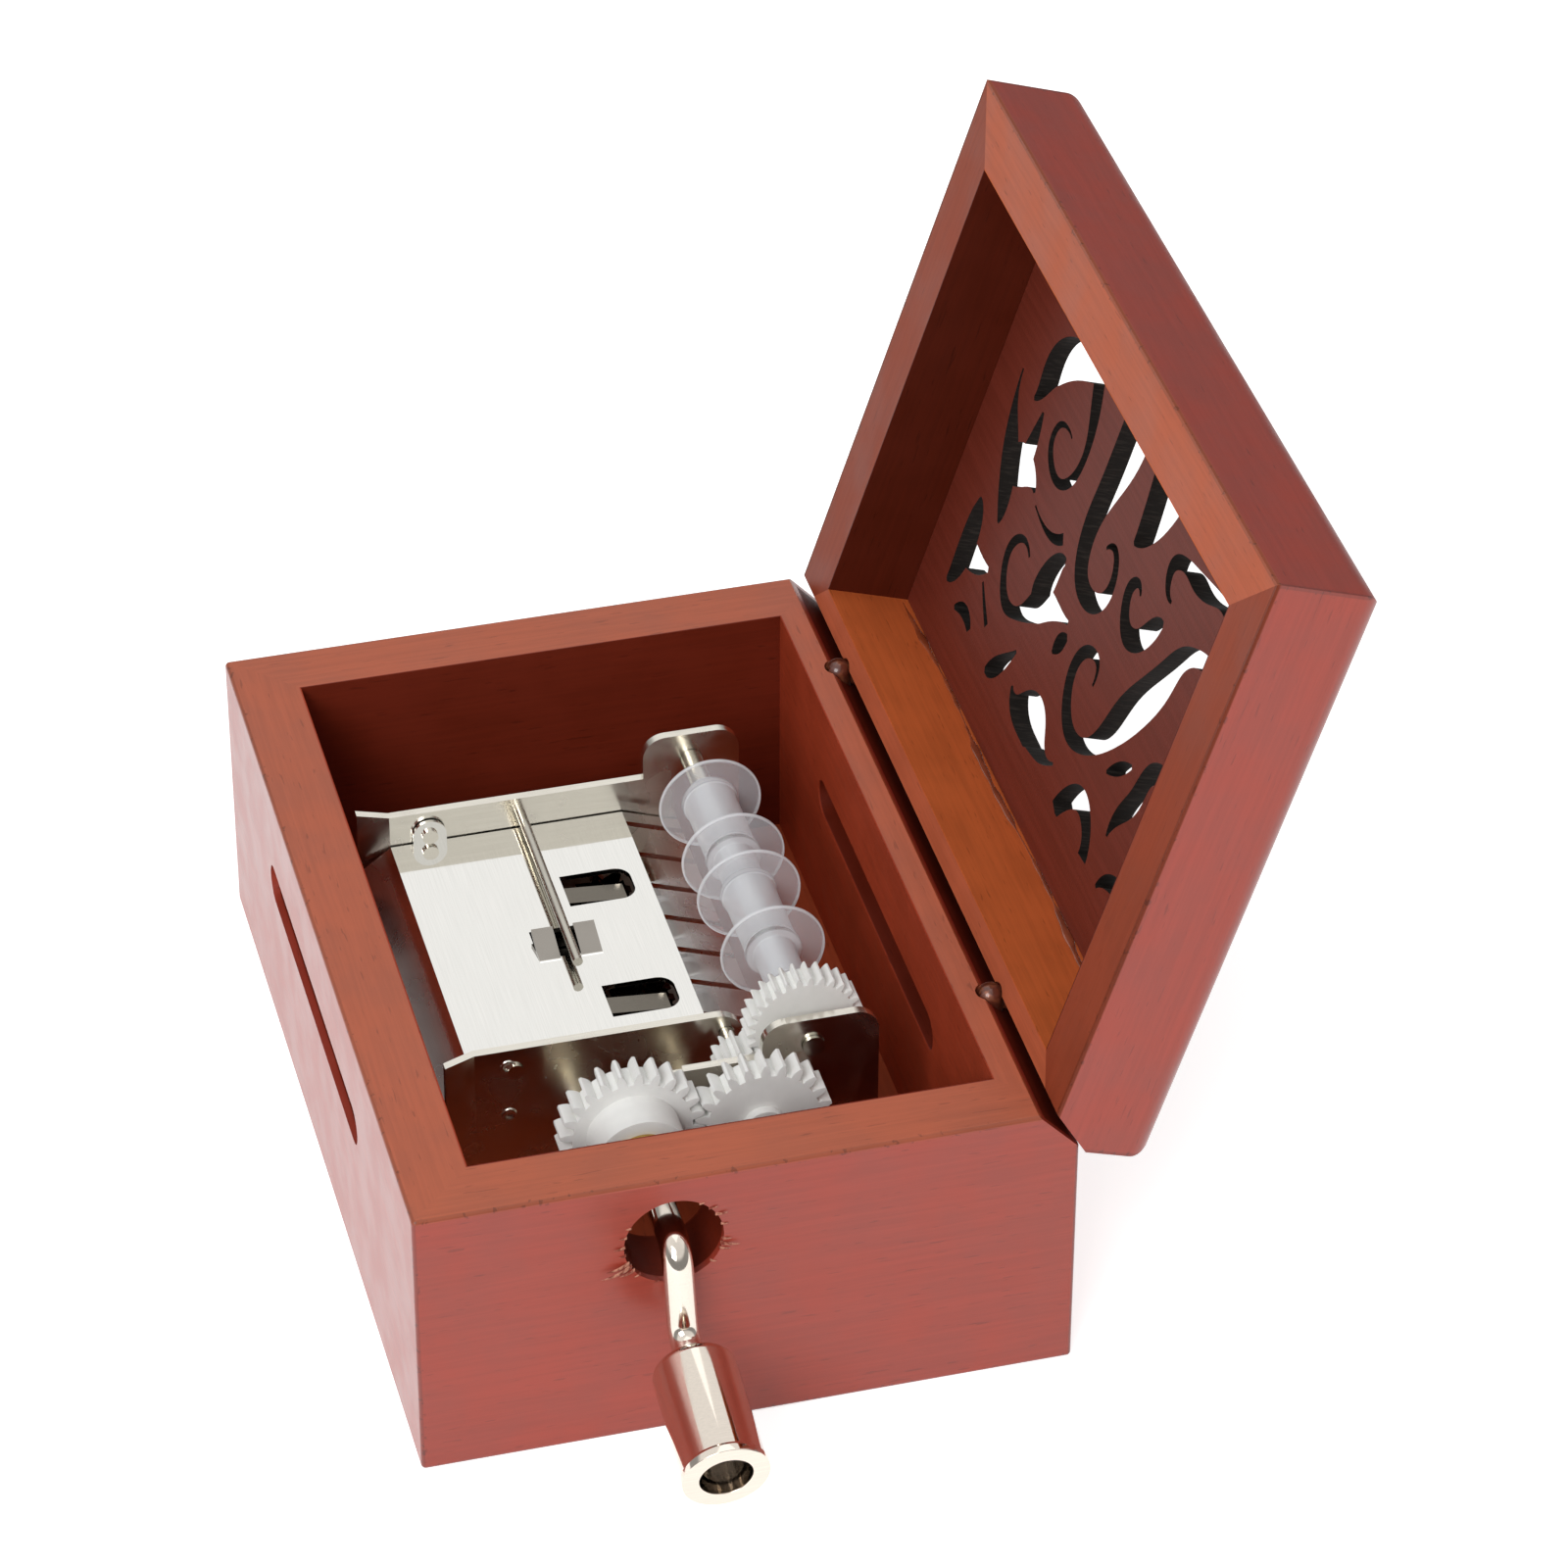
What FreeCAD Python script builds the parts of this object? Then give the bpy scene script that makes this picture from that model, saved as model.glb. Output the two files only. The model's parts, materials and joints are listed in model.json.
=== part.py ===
import FreeCAD, Part
import Sketcher
import math
import os

# Hand-cranked paper-strip music box in a hinged wooden case, in millimetres.
# +Z is up, -Y is the crank side, -X is the side where the strip goes in, and the lid is hinged on +X.
# The origin is the centre of the case's underside. The lid is modelled closed, then turned open.

Vec = FreeCAD.Vector
doc = FreeCAD.newDocument("music_box")

# Driving sizes
sheet = doc.addObject("Spreadsheet::Sheet", "Sizes")
SIZES = [
    ("box_w", 70.0), ("box_d", 100.3), ("box_h", 33.5), ("wall", 7.3), ("floor_t", 4.0), ("edge_r", 0.5),
    ("slot_len", 47.0), ("slot_h", 4.6), ("slot_y", 2.35), ("slot_under", 0.8), ("crank_hole_r", 5.25),
    ("chamfer_x", 4.4), ("chamfer_z", 4.8), ("lid_h", 12.2), ("lid_round", 2.5), ("rim_gap", 0.1),
    ("panel_t", 2.3), ("panel_recess", 0.1), ("panel_fit", 0.1), ("fret_margin", 6.4),
    ("hinge_in", 3.5), ("hinge_drop", 0.63), ("hinge_spread", 60.6), ("hinge_y", 1.5), ("stop_gap", 0.15),
    ("barrel_r", 1.45), ("barrel_len", 8.0), ("barrel_fit", 0.08), ("tongue_t", 0.9), ("tongue_len", 2.6),
    ("tongue_gap", 0.1), ("tongue_r", 1.1), ("slot_deep", 2.0), ("pin_r", 0.4), ("run_fit", 0.05),
    ("strip_w", 41.0), ("strip_gap", 0.6), ("strip_y", 5.2), ("plate_t", 1.0), ("plate_h", 18.1),
    ("plate_left", 24.8), ("flare_x", 3.4), ("flare_y", 1.3), ("front_right", 8.0), ("front_round", 3.0),
    ("ear_w", 11.0), ("ear_over", 3.3), ("ear_round", 2.6), ("base_drop", 25.5), ("base_t", 1.5),
    ("cover_rise", 14.2), ("cover_t", 0.6), ("cover_fit", 0.2), ("cover_right", 5.0), ("lead_drop", 2.6),
    ("finger_len", 6.4), ("finger_drop", 2.3), ("finger_pitch", 5.86), ("finger_slot", 0.9),
    ("finger_y", 0.4), ("window_l", 7.7), ("window_w", 5.5), ("window_x", -0.7), ("window_pitch", 20.0),
    ("window_y", 3.4), ("window_round", 1.8), ("spring_t", 0.3), ("tab_w", 7.0), ("tab_x", -6.5),
    ("tab_y", 4.2), ("tab_l", 5.0), ("tab_rise", 1.3), ("rod_r", 0.55), ("rod_z", 1.75), ("rod_end", 1.3),
    ("lug_x", -17.0), ("lug_w", 3.8), ("lug_h", 3.0), ("lug_t", 0.4), ("rivet_r", 0.9), ("rivet_h", 0.35),
    ("crank_x", -8.0), ("crank_rise", 17.3), ("gear_module", 0.6), ("crank_teeth", 24), ("idler_teeth", 23),
    ("pinion_module", 0.4), ("pinion_teeth", 11), ("roller_teeth", 30), ("idler_dip", -6.0),
    ("roller_rise", 31.0), ("backlash", 0.1), ("gear_y", 29.5), ("gear_t", 3.0), ("boss_r", 5.0),
    ("boss_t", 4.4), ("hub_r", 2.2), ("hub_t", 1.0), ("washer_r", 3.4), ("washer_t", 0.5), ("stud_r", 1.0),
    ("stud_in", 2.25), ("idler_shaft_r", 0.8), ("idler_shaft_over", 0.6), ("pinion_over", 0.45),
    ("bracket_y", 25.2), ("bracket_rise", 19.2), ("bracket_left", 11.6), ("bracket_foot", 4.0),
    ("bracket_right", 7.2), ("stud_over", 1.5), ("post_r", 1.3), ("post_pitch", 12.0), ("post_x", -3.5),
    ("post_rise", 7.0), ("roller_gear_y", 20.2), ("roller_gear_t", 3.0), ("roller_shaft_r", 1.2),
    ("roller_shaft_over", 0.5), ("flange_r", 5.8), ("flange_t", 0.8), ("spool_hub_r", 3.2),
    ("spool_len", 11.4), ("spool_gap", 5.6), ("spool_y", 4.05),
    ("star_x", 1.0), ("star_rise", 8.6), ("star_r", 3.3), ("star_root", 1.7), ("star_teeth", 7),
    ("star_t", 1.1), ("star_shaft_r", 0.8), ("notes", 15), ("note_pitch", 2.0), ("comb_t", 0.9),
    ("comb_gap", 0.5), ("comb_tip_gap", 0.6), ("comb_left", 20.0), ("comb_seat", 7.0), ("comb_side", 2.0),
    ("tooth_short", 7.0), ("tooth_step", 0.18), ("comb_screw_r", 1.0), ("comb_head_r", 1.8),
    ("comb_head_h", 1.2), ("comb_screws", 3),
    ("standoff_r", 2.6), ("fix_x", 19.0), ("fix_y", 34.0), ("fix_mid_x", -5.5), ("screw_r", 1.2),
    ("screw_head_r", 2.4), ("screw_head_h", 1.5), ("screw_sink", 0.3), ("screw_fit", 0.1),
    ("wire_r", 1.6), ("elbow_out", 1.05), ("wire_drop", 9.7), ("wire_slope", 2.5), ("bend_r", 3.0),
    ("knob_tilt", 12.0), ("knob_start", 1.9), ("knob_len", 14.4), ("knob_r", 4.42), ("knob_flange_r", 4.6),
    ("knob_flange_t", 0.9), ("knob_bore_r", 2.8), ("knob_bore_len", 5.0), ("knob_shoulder", 1.2),
    ("rivet_head_r", 2.3), ("rivet_head_t", 1.0), ("knob_play", 0.1),
]
for row, (alias, number) in enumerate(SIZES, 1):
    sheet.set(f"A{row}", alias.replace("_", " "))
    sheet.set(f"B{row}", str(number))
    sheet.setAlias(f"B{row}", alias)

# Places worked out from the sizes
places = doc.addObject("Spreadsheet::Sheet", "Places")
PLACES = [
    ("half_w", "box_w / 2"),
    ("half_d", "box_d / 2"),
    ("in_w", "box_w - 2 * wall"),
    ("in_d", "box_d - 2 * wall"),
    ("lid_z", "box_h + rim_gap"),
    ("panel_z", "box_h + rim_gap + lid_h - panel_recess - panel_t"),
    ("pivot_x", "box_w / 2 - hinge_in"),
    ("pivot_z", "box_h - hinge_drop"),
    ("half_gap", "strip_w / 2 + strip_gap"),
    ("back_y", "strip_y + strip_w / 2 + strip_gap"),
    ("front_y", "strip_y - strip_w / 2 - strip_gap"),
    ("base_z", "box_h - base_drop"),
    ("base_top", "base_z + base_t"),
    ("plate_top", "base_z + plate_h"),
    ("cover_z", "base_z + cover_rise"),
    ("slot_z", "cover_z - slot_under"),
    ("star_z", "base_z + star_rise"),
    ("bracket_bottom", "base_z + bracket_foot"),
    ("bracket_low", "base_z + bracket_rise"),
    ("post_z", "base_z + post_rise"),
    ("crank_z", "base_z + crank_rise"),
    ("idler_x", "crank_x + gear_module * (crank_teeth + idler_teeth) / 2 * cos(idler_dip * 1 deg)"),
    ("idler_z", "crank_z + gear_module * (crank_teeth + idler_teeth) / 2 * sin(idler_dip * 1 deg)"),
]
PLACES_AFTER = [
    ("roller_x", "idler_x + pinion_module * (pinion_teeth + roller_teeth) / 2 * cos(roller_rise * 1 deg)"),
    ("roller_z", "idler_z + pinion_module * (pinion_teeth + roller_teeth) / 2 * sin(roller_rise * 1 deg)"),
]
size_names = {alias for alias, number in SIZES}
place_names = {alias for alias, formula in PLACES + PLACES_AFTER}


def spell(formula):
    """Name the sheet of every size and place in a formula."""
    words = []
    word = ""
    for mark in formula + " ":
        if mark.isalnum() or mark == "_":
            word += mark
            continue
        if word in size_names:
            word = "Sizes." + word
        elif word in place_names:
            word = "Places." + word
        words.append(word + mark)
        word = ""
    return "".join(words).strip()


for row, (alias, formula) in enumerate(PLACES + PLACES_AFTER, 1):
    places.set(f"A{row}", alias.replace("_", " "))
    places.set(f"B{row}", "=" + spell(formula))
    places.setAlias(f"B{row}", alias)
workings = doc.addObject("Spreadsheet::Sheet", "Workings")
doc.recompute()


def size(alias):
    """The number that a size or a place holds."""
    if alias in size_names:
        return float(sheet.get(alias))
    return float(places.get(alias))


# Ways of making a piece
def bind(thing, **formulas):
    """Tie properties to formulas; double underscores stand for dots."""
    for prop, formula in formulas.items():
        thing.setExpression(prop.replace("__", "."), spell(str(formula)))
    return thing


def put(thing, x, y, z):
    """Tie where a piece stands to formulas."""
    return bind(thing, Placement__Base__x=x, Placement__Base__y=y, Placement__Base__z=z)


def block(name, corner, extent):
    """A block from its lowest corner and its three sides."""
    thing = doc.addObject("Part::Box", name)
    bind(thing, Length=extent[0], Width=extent[1], Height=extent[2])
    return put(thing, *corner)


TURNS = {"x": (Vec(0, 1, 0), 90), "y": (Vec(1, 0, 0), -90), "z": (Vec(0, 0, 1), 0)}


def round_bar(name, radius, length, start, axis):
    """A round bar that runs from its start along +X, +Y or +Z."""
    thing = doc.addObject("Part::Cylinder", name)
    thing.Placement.Rotation = FreeCAD.Rotation(*TURNS[axis])
    bind(thing, Radius=radius, Height=length)
    return put(thing, *start)


def cut(name, base, *tools):
    """The base with every tool taken out of it."""
    thing = doc.addObject("Part::Cut", name)
    thing.Base = base
    thing.Tool = tools[0] if len(tools) == 1 else group(name + "_tools", *tools)
    thing.Refine = True
    return thing


def group(name, *pieces):
    """Pieces joined where they meet, and kept side by side where they do not."""
    thing = doc.addObject("Part::MultiFuse", name)
    thing.Shapes = list(pieces)
    thing.Refine = True
    return thing


def shared(name, one, other):
    """What two pieces have in common."""
    thing = doc.addObject("Part::Common", name)
    thing.Base = one
    thing.Tool = other
    return thing


def outline_pad(name, plane, corners, length):
    """A straight-sided outline on an origin plane, padded: XY goes up, XZ goes to -Y, YZ goes to +X."""
    body = doc.addObject("PartDesign::Body", name)
    planes = {feature.Role: feature for feature in body.Origin.OriginFeatures}
    sketch = body.newObject("Sketcher::SketchObject", name + "_outline")
    sketch.AttachmentSupport = [(planes[plane + "_Plane"], "")]
    sketch.MapMode = "FlatFace"
    count = len(corners)
    seeds = [Vec(sheet_value(across), sheet_value(up), 0) for across, up in corners]
    for index, seed in enumerate(seeds):
        sketch.addGeometry(Part.LineSegment(seed, seeds[(index + 1) % count]))
    for index in range(count):
        sketch.addConstraint(Sketcher.Constraint("Coincident", index, 2, (index + 1) % count, 1))
    for index, (across, up) in enumerate(corners):
        seed = seeds[index]
        for kind, formula, value in (("DistanceX", across, seed.x), ("DistanceY", up, seed.y)):
            place = sketch.addConstraint(Sketcher.Constraint(kind, -1, 1, index, 1, value))
            sketch.setExpression(f"Constraints[{place}]", spell(formula))
    pad = body.newObject("PartDesign::Pad", name + "_pad")
    pad.Profile = sketch
    bind(pad, Length=length)
    return body


def sheet_value(formula):
    """The number that a formula of sizes gives, worked out in a spare cell."""
    workings.set("A1", "=" + spell(formula))
    workings.recompute()
    return float(workings.get("A1"))


def soften(body, name, radius, wanted):
    """Round the body's edges that the test picks."""
    doc.recompute(body.Group)
    tip = body.Tip
    names = [f"Edge{index}" for index, edge in enumerate(tip.Shape.Edges, 1) if wanted(edge)]
    fillet = body.newObject("PartDesign::Fillet", name)
    fillet.Base = (tip, names)
    bind(fillet, Radius=radius)
    return body


nodes = []


def node(name, thing):
    """Name a finished piece."""
    thing.Label = name
    nodes.append(thing)
    return thing


def solid_node(name, shape):
    """A piece whose shape is worked out here from the sizes."""
    thing = doc.addObject("Part::Feature", name + "_form")
    thing.Shape = shape
    return node(name, thing)


# Case walls: one sanded ring with a hollow, parted at its mitred corners
REACH = 1.0
NEAR = 0.01


def mitre_wedge(name, side, height, foot):
    """The share of a ring that lies between two 45 degree corner cuts."""
    wide = f"half_w + {REACH}"
    deep = f"half_d + {REACH}"
    thin_w = f"half_w - wall - {REACH}"
    thin_d = f"half_d - wall - {REACH}"
    corners = {
        "front": [(f"-({wide})", f"-({deep})"), (wide, f"-({deep})"), (thin_w, f"-({thin_d})"),
                  (f"-({thin_w})", f"-({thin_d})")],
        "back": [(f"-({wide})", deep), (wide, deep), (thin_w, thin_d), (f"-({thin_w})", thin_d)],
        "left": [(f"-({wide})", f"-({deep})"), (f"-({thin_w})", f"-({thin_d})"), (f"-({thin_w})", thin_d),
                 (f"-({wide})", deep)],
        "right": [(wide, f"-({deep})"), (thin_w, f"-({thin_d})"), (thin_w, thin_d), (wide, deep)],
    }[side]
    return put(outline_pad(name, "XY", corners, height), 0, 0, foot)


def ring(name, foot, height, hollow_foot, radius, wanted, wedge):
    """A rectangular frame, its outer edges rounded and its hinge edge bevelled."""
    corners = [("-half_w", "-half_d"), ("half_w", "-half_d"), ("half_w", "half_d"), ("-half_w", "half_d")]
    blank = put(outline_pad(name + "_blank", "XY", corners, height), 0, 0, foot)
    soften(blank, name + "_edges", radius, wanted)
    hollow = block(name + "_hollow", ("-in_w / 2", "-in_d / 2", hollow_foot),
                   ("in_w", "in_d", f"{height} + 2"))
    bevel = put(outline_pad(name + "_bevel", "XZ", wedge, "box_d + 2"), 0, "half_d + 1", 0)
    return cut(name, blank, hollow, bevel)


def strip_slot(name, start_x):
    """A slot with round ends through a side wall."""
    straight = "slot_len - slot_h"
    low = "slot_z - slot_h / 2"
    middle = block(name + "_straight", (start_x, f"slot_y - ({straight}) / 2", low),
                   ("wall + 2", straight, "slot_h"))
    ends = [round_bar(f"{name}_end{way}", "slot_h / 2", "wall + 2",
                      (start_x, f"slot_y + {way} * ({straight}) / 2", "slot_z"), "x") for way in (-1, 1)]
    return group(name, middle, *ends)


def hinge_places():
    """Which way along Y each hinge lies from the middle of the pair."""
    return [("rear", "hinge_y + hinge_spread / 2"), ("fore", "hinge_y - hinge_spread / 2")]


box_wedge = [("half_w - chamfer_x", "box_h"), ("half_w + chamfer_x", "box_h + 2 * chamfer_z"),
             ("half_w + chamfer_x", "box_h - 2 * chamfer_z")]
box_ring = ring("box_ring", "0", "box_h", "-1", "edge_r", lambda edge: True, box_wedge)
box_sides = {}
for side in ("front", "back", "left", "right"):
    wedge = mitre_wedge(f"box_{side}_mitre", side, "box_h", "0")
    box_sides[side] = shared(f"box_{side}_side", box_ring, wedge)
crank_hole = round_bar("crank_hole", "crank_hole_r", "wall + 2", ("crank_x", "-half_d - 1", "crank_z"), "y")
node("box_front_wall", cut("box_front_bored", box_sides["front"], crank_hole))
node("box_back_wall", box_sides["back"])
node("box_left_wall", cut("box_left_slotted", box_sides["left"], strip_slot("entry_slot", "-half_w - 1")))
barrel_hole_r = "barrel_r + barrel_fit"
barrel_holes = [round_bar(f"box_barrel_hole_{place}", barrel_hole_r, "barrel_len + hinge_drop + 1",
                          ("pivot_x", y, "pivot_z - barrel_len"), "z") for place, y in hinge_places()]
exit_slot = strip_slot("exit_slot", "half_w - wall - 1")
node("box_right_wall", cut("box_right_slotted", box_sides["right"], exit_slot, *barrel_holes))

# Case floor, set between the walls, with a stepped hole under each stand-off
FIX_WAYS = [(-1, -1), (1, -1), (-1, 1), (1, 1)]


def fix_point(way):
    """Where a fixing screw stands."""
    return f"fix_mid_x + {way[0]} * fix_x / 2", f"strip_y + {way[1]} * fix_y / 2"


floor_plate = block("floor_plate", ("-in_w / 2", "-in_d / 2", "0"), ("in_w", "in_d", "floor_t"))
floor_holes = []
for index, way in enumerate(FIX_WAYS):
    x, y = fix_point(way)
    floor_holes.append(round_bar(f"floor_hole{index}", "screw_r + screw_fit", "floor_t + 2",
                                 (x, y, "-1"), "z"))
    floor_holes.append(round_bar(f"floor_sink{index}", "screw_head_r + screw_fit",
                                 "screw_sink + screw_head_h + 1", (x, y, "-1"), "z"))
node("box_floor", cut("floor_bored", floor_plate, *floor_holes))

# Lid: rails parted like the case walls, with the pierced panel between them
lid_wedge = [("half_w - chamfer_x", "lid_z"), ("half_w + chamfer_x", "lid_z + 2 * chamfer_z"),
             ("half_w + chamfer_x", "lid_z - 2 * chamfer_z")]
lid_crown = size("lid_h")
lid_ring = ring("lid_ring", "lid_z", "lid_h", "lid_z - 1", "lid_round",
                lambda edge: edge.BoundBox.ZMin > lid_crown - NEAR, lid_wedge)
lid_nodes = []
lid_sides = {"front": "lid_front_rail", "back": "lid_back_rail", "left": "lid_free_rail"}
for side, name in lid_sides.items():
    wedge = mitre_wedge(f"lid_{side}_mitre", side, "lid_h", "lid_z")
    lid_nodes.append(node(name, shared(f"lid_{side}_side", lid_ring, wedge)))
hinge_side = shared("lid_right_side", lid_ring, mitre_wedge("lid_right_mitre", "right", "lid_h", "lid_z"))
lid_holes = [round_bar(f"lid_barrel_hole_{place}", barrel_hole_r, "barrel_len - hinge_drop - rim_gap + 1",
                       ("pivot_x", y, "lid_z - 1"), "z") for place, y in hinge_places()]
lid_nodes.append(node("lid_hinge_rail", cut("lid_right_bored", hinge_side, *lid_holes)))

# Barrel hinges: a slotted round-headed barrel in the case, a tongued barrel in the lid, a pin through both
box_barrels = []
lid_barrels = []
pins = []
pin_len = "2 * barrel_r - pin_r"
for place, y in hinge_places():
    shank = round_bar(f"box_shank_{place}", "barrel_r", "barrel_len",
                      ("pivot_x", y, "pivot_z - barrel_len"), "z")
    head = doc.addObject("Part::Sphere", f"box_head_{place}")
    put(bind(head, Radius="barrel_r"), "pivot_x", y, "pivot_z")
    slit = block(f"box_slit_{place}",
                 ("pivot_x - 2 * barrel_r", f"{y} - tongue_t / 2 - tongue_gap", "pivot_z - slot_deep"),
                 ("4 * barrel_r", "tongue_t + 2 * tongue_gap", "slot_deep + 2 * barrel_r"))
    pin_start = ("pivot_x", f"{y} - ({pin_len}) / 2", "pivot_z")
    eye = round_bar(f"box_eye_{place}", "pin_r", pin_len, pin_start, "y")
    blank = group(f"box_barrel_{place}_blank", shank, head)
    box_barrels.append(cut(f"box_barrel_{place}", blank, slit, eye))
    pins.append(round_bar(f"pin_{place}", "pin_r", pin_len, pin_start, "y"))
    knuckle = round_bar(f"knuckle_{place}", "tongue_r", "tongue_t",
                        ("pivot_x", f"{y} - tongue_t / 2", "pivot_z"), "y")
    tongue = block(f"tongue_{place}", ("pivot_x - tongue_r", f"{y} - tongue_t / 2", "pivot_z"),
                   ("2 * tongue_r", "tongue_t", "tongue_len + tongue_t"))
    barrel = round_bar(f"lid_shank_{place}", "barrel_r", "barrel_len - tongue_len",
                       ("pivot_x", y, "pivot_z + tongue_len"), "z")
    lid_eye = round_bar(f"lid_eye_{place}", "pin_r + run_fit", "tongue_t + 2",
                        ("pivot_x", f"{y} - tongue_t / 2 - 1", "pivot_z"), "y")
    blank = group(f"lid_barrel_{place}_blank", knuckle, tongue, barrel)
    lid_barrels.append(cut(f"lid_barrel_{place}", blank, lid_eye))
node("hinge_box_barrels", group("hinge_box_pair", *box_barrels))
node("hinge_pins", group("hinge_pin_pair", *pins))
lid_nodes.append(node("hinge_lid_barrels", group("hinge_lid_pair", *lid_barrels)))

# Pierced panel: scroll work sawn through a thin board, each opening a stroke that swells and tapers.
# A stroke's points are its place along Y and X from the panel's middle, on a drawn field, and its breadth.
FIELD_X = 21.3
FIELD_Y = 36.45
SPAN_STEPS = 4
SAW_KERF = 0.25
STROKES = [
    [(-31, -16.3, 0.4), (-28, -16.7, 1.6), (-24.5, -16.9, 1.5), (-21.5, -16.1, 2.2), (-17.5, -15.3, 2.3),
     (-14, -14.9, 1.6), (-11.9, -13.3, 1.8), (-12.4, -11.3, 1.3), (-14.5, -10.4, 0.4)],
    [(-4.9, -19.5, 9.4), (-4.5, -15.6, 7), (-3.5, -12.1, 4), (-2.2, -9.7, 0.5)],
    [(6.3, -19.5, 7.2), (6.7, -14.1, 6.4), (7.7, -9.1, 4.4), (8, -4.1, 3.6), (5.9, 0, 3.2),
     (2.3, 0.6, 2.6), (-0.6, -1.3, 2), (-1, -4.5, 1.5), (0.7, -6.6, 1.1), (3, -5.6, 0.4)],
    [(-14.7, -7.7, 0.6), (-12.5, -5.1, 2.8), (-10.5, -2.8, 2.6), (-8.1, -2.1, 2.5), (-5.8, -3.7, 2.1),
     (-5.2, -6.1, 1.8), (-6.5, -7.4, 1), (-7.8, -6.7, 0.4)],
    [(-28.9, -6.1, 0.4), (-27.9, -4.1, 1), (-29.9, -2.7, 1.4), (-31.9, -5.1, 1.8), (-30.9, -8.9, 2),
     (-27.5, -10.5, 2), (-24.1, -9.8, 1.9), (-21.1, -7.5, 3), (-19.3, -3.7, 4.6), (-17.1, 0.3, 5.4),
     (-14.1, 4.9, 5.2), (-11.3, 9.5, 3), (-8, 12.5, 1.8), (-4, 13.1, 2.3), (-0.8, 10.5, 2.2),
     (-0.1, 6.9, 1.9), (-2.1, 4.3, 1.4), (-4.2, 3.9, 1), (-5.4, 6.5, 0.4)],
    [(-19.9, 6.9, 0.5), (-17.9, 8.5, 1.6), (-15.2, 10.8, 0.4)],
    [(-28.9, 9.1, 0.4), (-27.7, 10.3, 0.9), (-28.7, 12.3, 1.3), (-31.7, 11.5, 1.7), (-32.7, 7.7, 2),
     (-30.7, 4.1, 2.2), (-27.1, 3.3, 2.2), (-24.1, 5.1, 2.6), (-23.1, 8.9, 3), (-21.3, 12.1, 2.2),
     (-20.4, 15.5, 0.4)],
    [(-17.3, 20.7, 2.4), (-15.1, 17.3, 2.3), (-12.1, 16.6, 2.7), (-9.7, 18.1, 2.7), (-7.7, 21.1, 2.2)],
    [(-3.7, 17.9, 0.4), (0.7, 18.8, 3.4), (4.3, 17.9, 6.4), (7.8, 18.9, 4.4), (11.5, 18.1, 0.5)],
    [(4.9, 5.3, 0.5), (8.8, 6.3, 2.4), (12.1, 7.7, 4.2), (14.9, 10.5, 2.6), (17.3, 12.3, 1.5),
     (19.9, 12.9, 1.8), (22.7, 11.2, 1.6), (23.8, 8.1, 1.5), (22.2, 5.7, 1), (18.7, 5.9, 0.4)],
    [(10.4, 1.1, 0.8), (12.1, 2.9, 3.4), (13.1, 5.9, 4.6), (14.5, 9.3, 1.6)],
    [(12.9, -0.3, 1.4), (15.7, 1.2, 1), (18.7, 1.5, 0.5), (21.8, 1.1, 0.3)],
    [(18.3, -17.1, 2.8), (16.2, -13.3, 2.3), (15.2, -9.6, 1.4), (16.2, -5.7, 1.4), (18.5, -3.9, 1.2),
     (21.5, -4.1, 1.3), (23.8, -6.5, 1.2), (23.3, -8.4, 0.9), (21.5, -9.3, 0.5), (19.5, -9.1, 0.3)],
    [(16.9, -17.9, 1.2), (21.5, -17, 3.2), (25.9, -15.3, 4.8), (29.1, -12.5, 5), (30.1, -9.5, 3.2),
     (31.3, -6.9, 0.5)],
    [(36.3, -7.7, 0.4), (35.1, -3.7, 1.6), (32.5, 0.1, 4), (30.1, 3.9, 3.8), (28.7, 7.9, 0.4)],
    [(23.1, 0.3, 0.5), (26.1, -0.4, 3.4), (29.1, 0.4, 5), (30.9, 1.4, 3.6)],
    [(27.9, -0.9, 3.4), (27.8, -4.3, 2.2), (28, -7.1, 0.5)],
    [(34.9, 8.5, 0.5), (33.8, 12.1, 4.2), (33.9, 15.5, 4), (35.5, 19.8, 0.6)],
    [(26.8, 12.9, 0.6), (29.3, 13.9, 2.4), (32.1, 14.3, 3.6)],
    [(22.4, 17.5, 0.9), (24.7, 16.1, 0.7), (26.9, 14.6, 0.4)],
    [(13.5, 14.9, 0.4), (15.2, 17.3, 1.8), (16.9, 19.3, 2.4), (18.9, 21.1, 0.8)],
    [(25.9, 20.5, 1), (28.1, 19.7, 1.7), (31.2, 20.9, 0.6)],
    [(3.8, 6.5, 0.8), (4.9, 7.9, 2.2), (5.8, 9.8, 0.4)],
    [(-32.1, 15.7, 0.4), (-30.1, 17.7, 2), (-26.7, 17.9, 2.2), (-23.9, 18.9, 1.6), (-22.3, 20.7, 0.5)],
]


def smooth(points):
    """A smooth edge through points."""
    curve = Part.BSplineCurve()
    curve.interpolate(points)
    return curve.toShape()


def stroke_face(points, stretch_x, stretch_y):
    """The area on both sides of a smooth line, half the breadth each way."""
    line = Part.BSplineCurve()
    line.interpolate([Vec(across * stretch_x, along * stretch_y, breadth)
                      for along, across, breadth in points])
    count = SPAN_STEPS * (len(points) - 1)
    start = line.FirstParameter
    step = (line.LastParameter - start) / count
    left = []
    right = []
    for index in range(count + 1):
        middle = line.value(start + step * index)
        way = line.tangent(start + step * index)[0]
        side = Vec(-way.y, way.x, 0).normalize() * (max(middle.z, SAW_KERF) / 2)
        centre = Vec(middle.x, middle.y, 0)
        left.append(centre + side)
        right.append(centre - side)
    caps = [Part.LineSegment(left[-1], right[-1]).toShape(), Part.LineSegment(right[0], left[0]).toShape()]
    return Part.Face(Part.Wire([smooth(left), caps[0], smooth(right[::-1]), caps[1]]))


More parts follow.
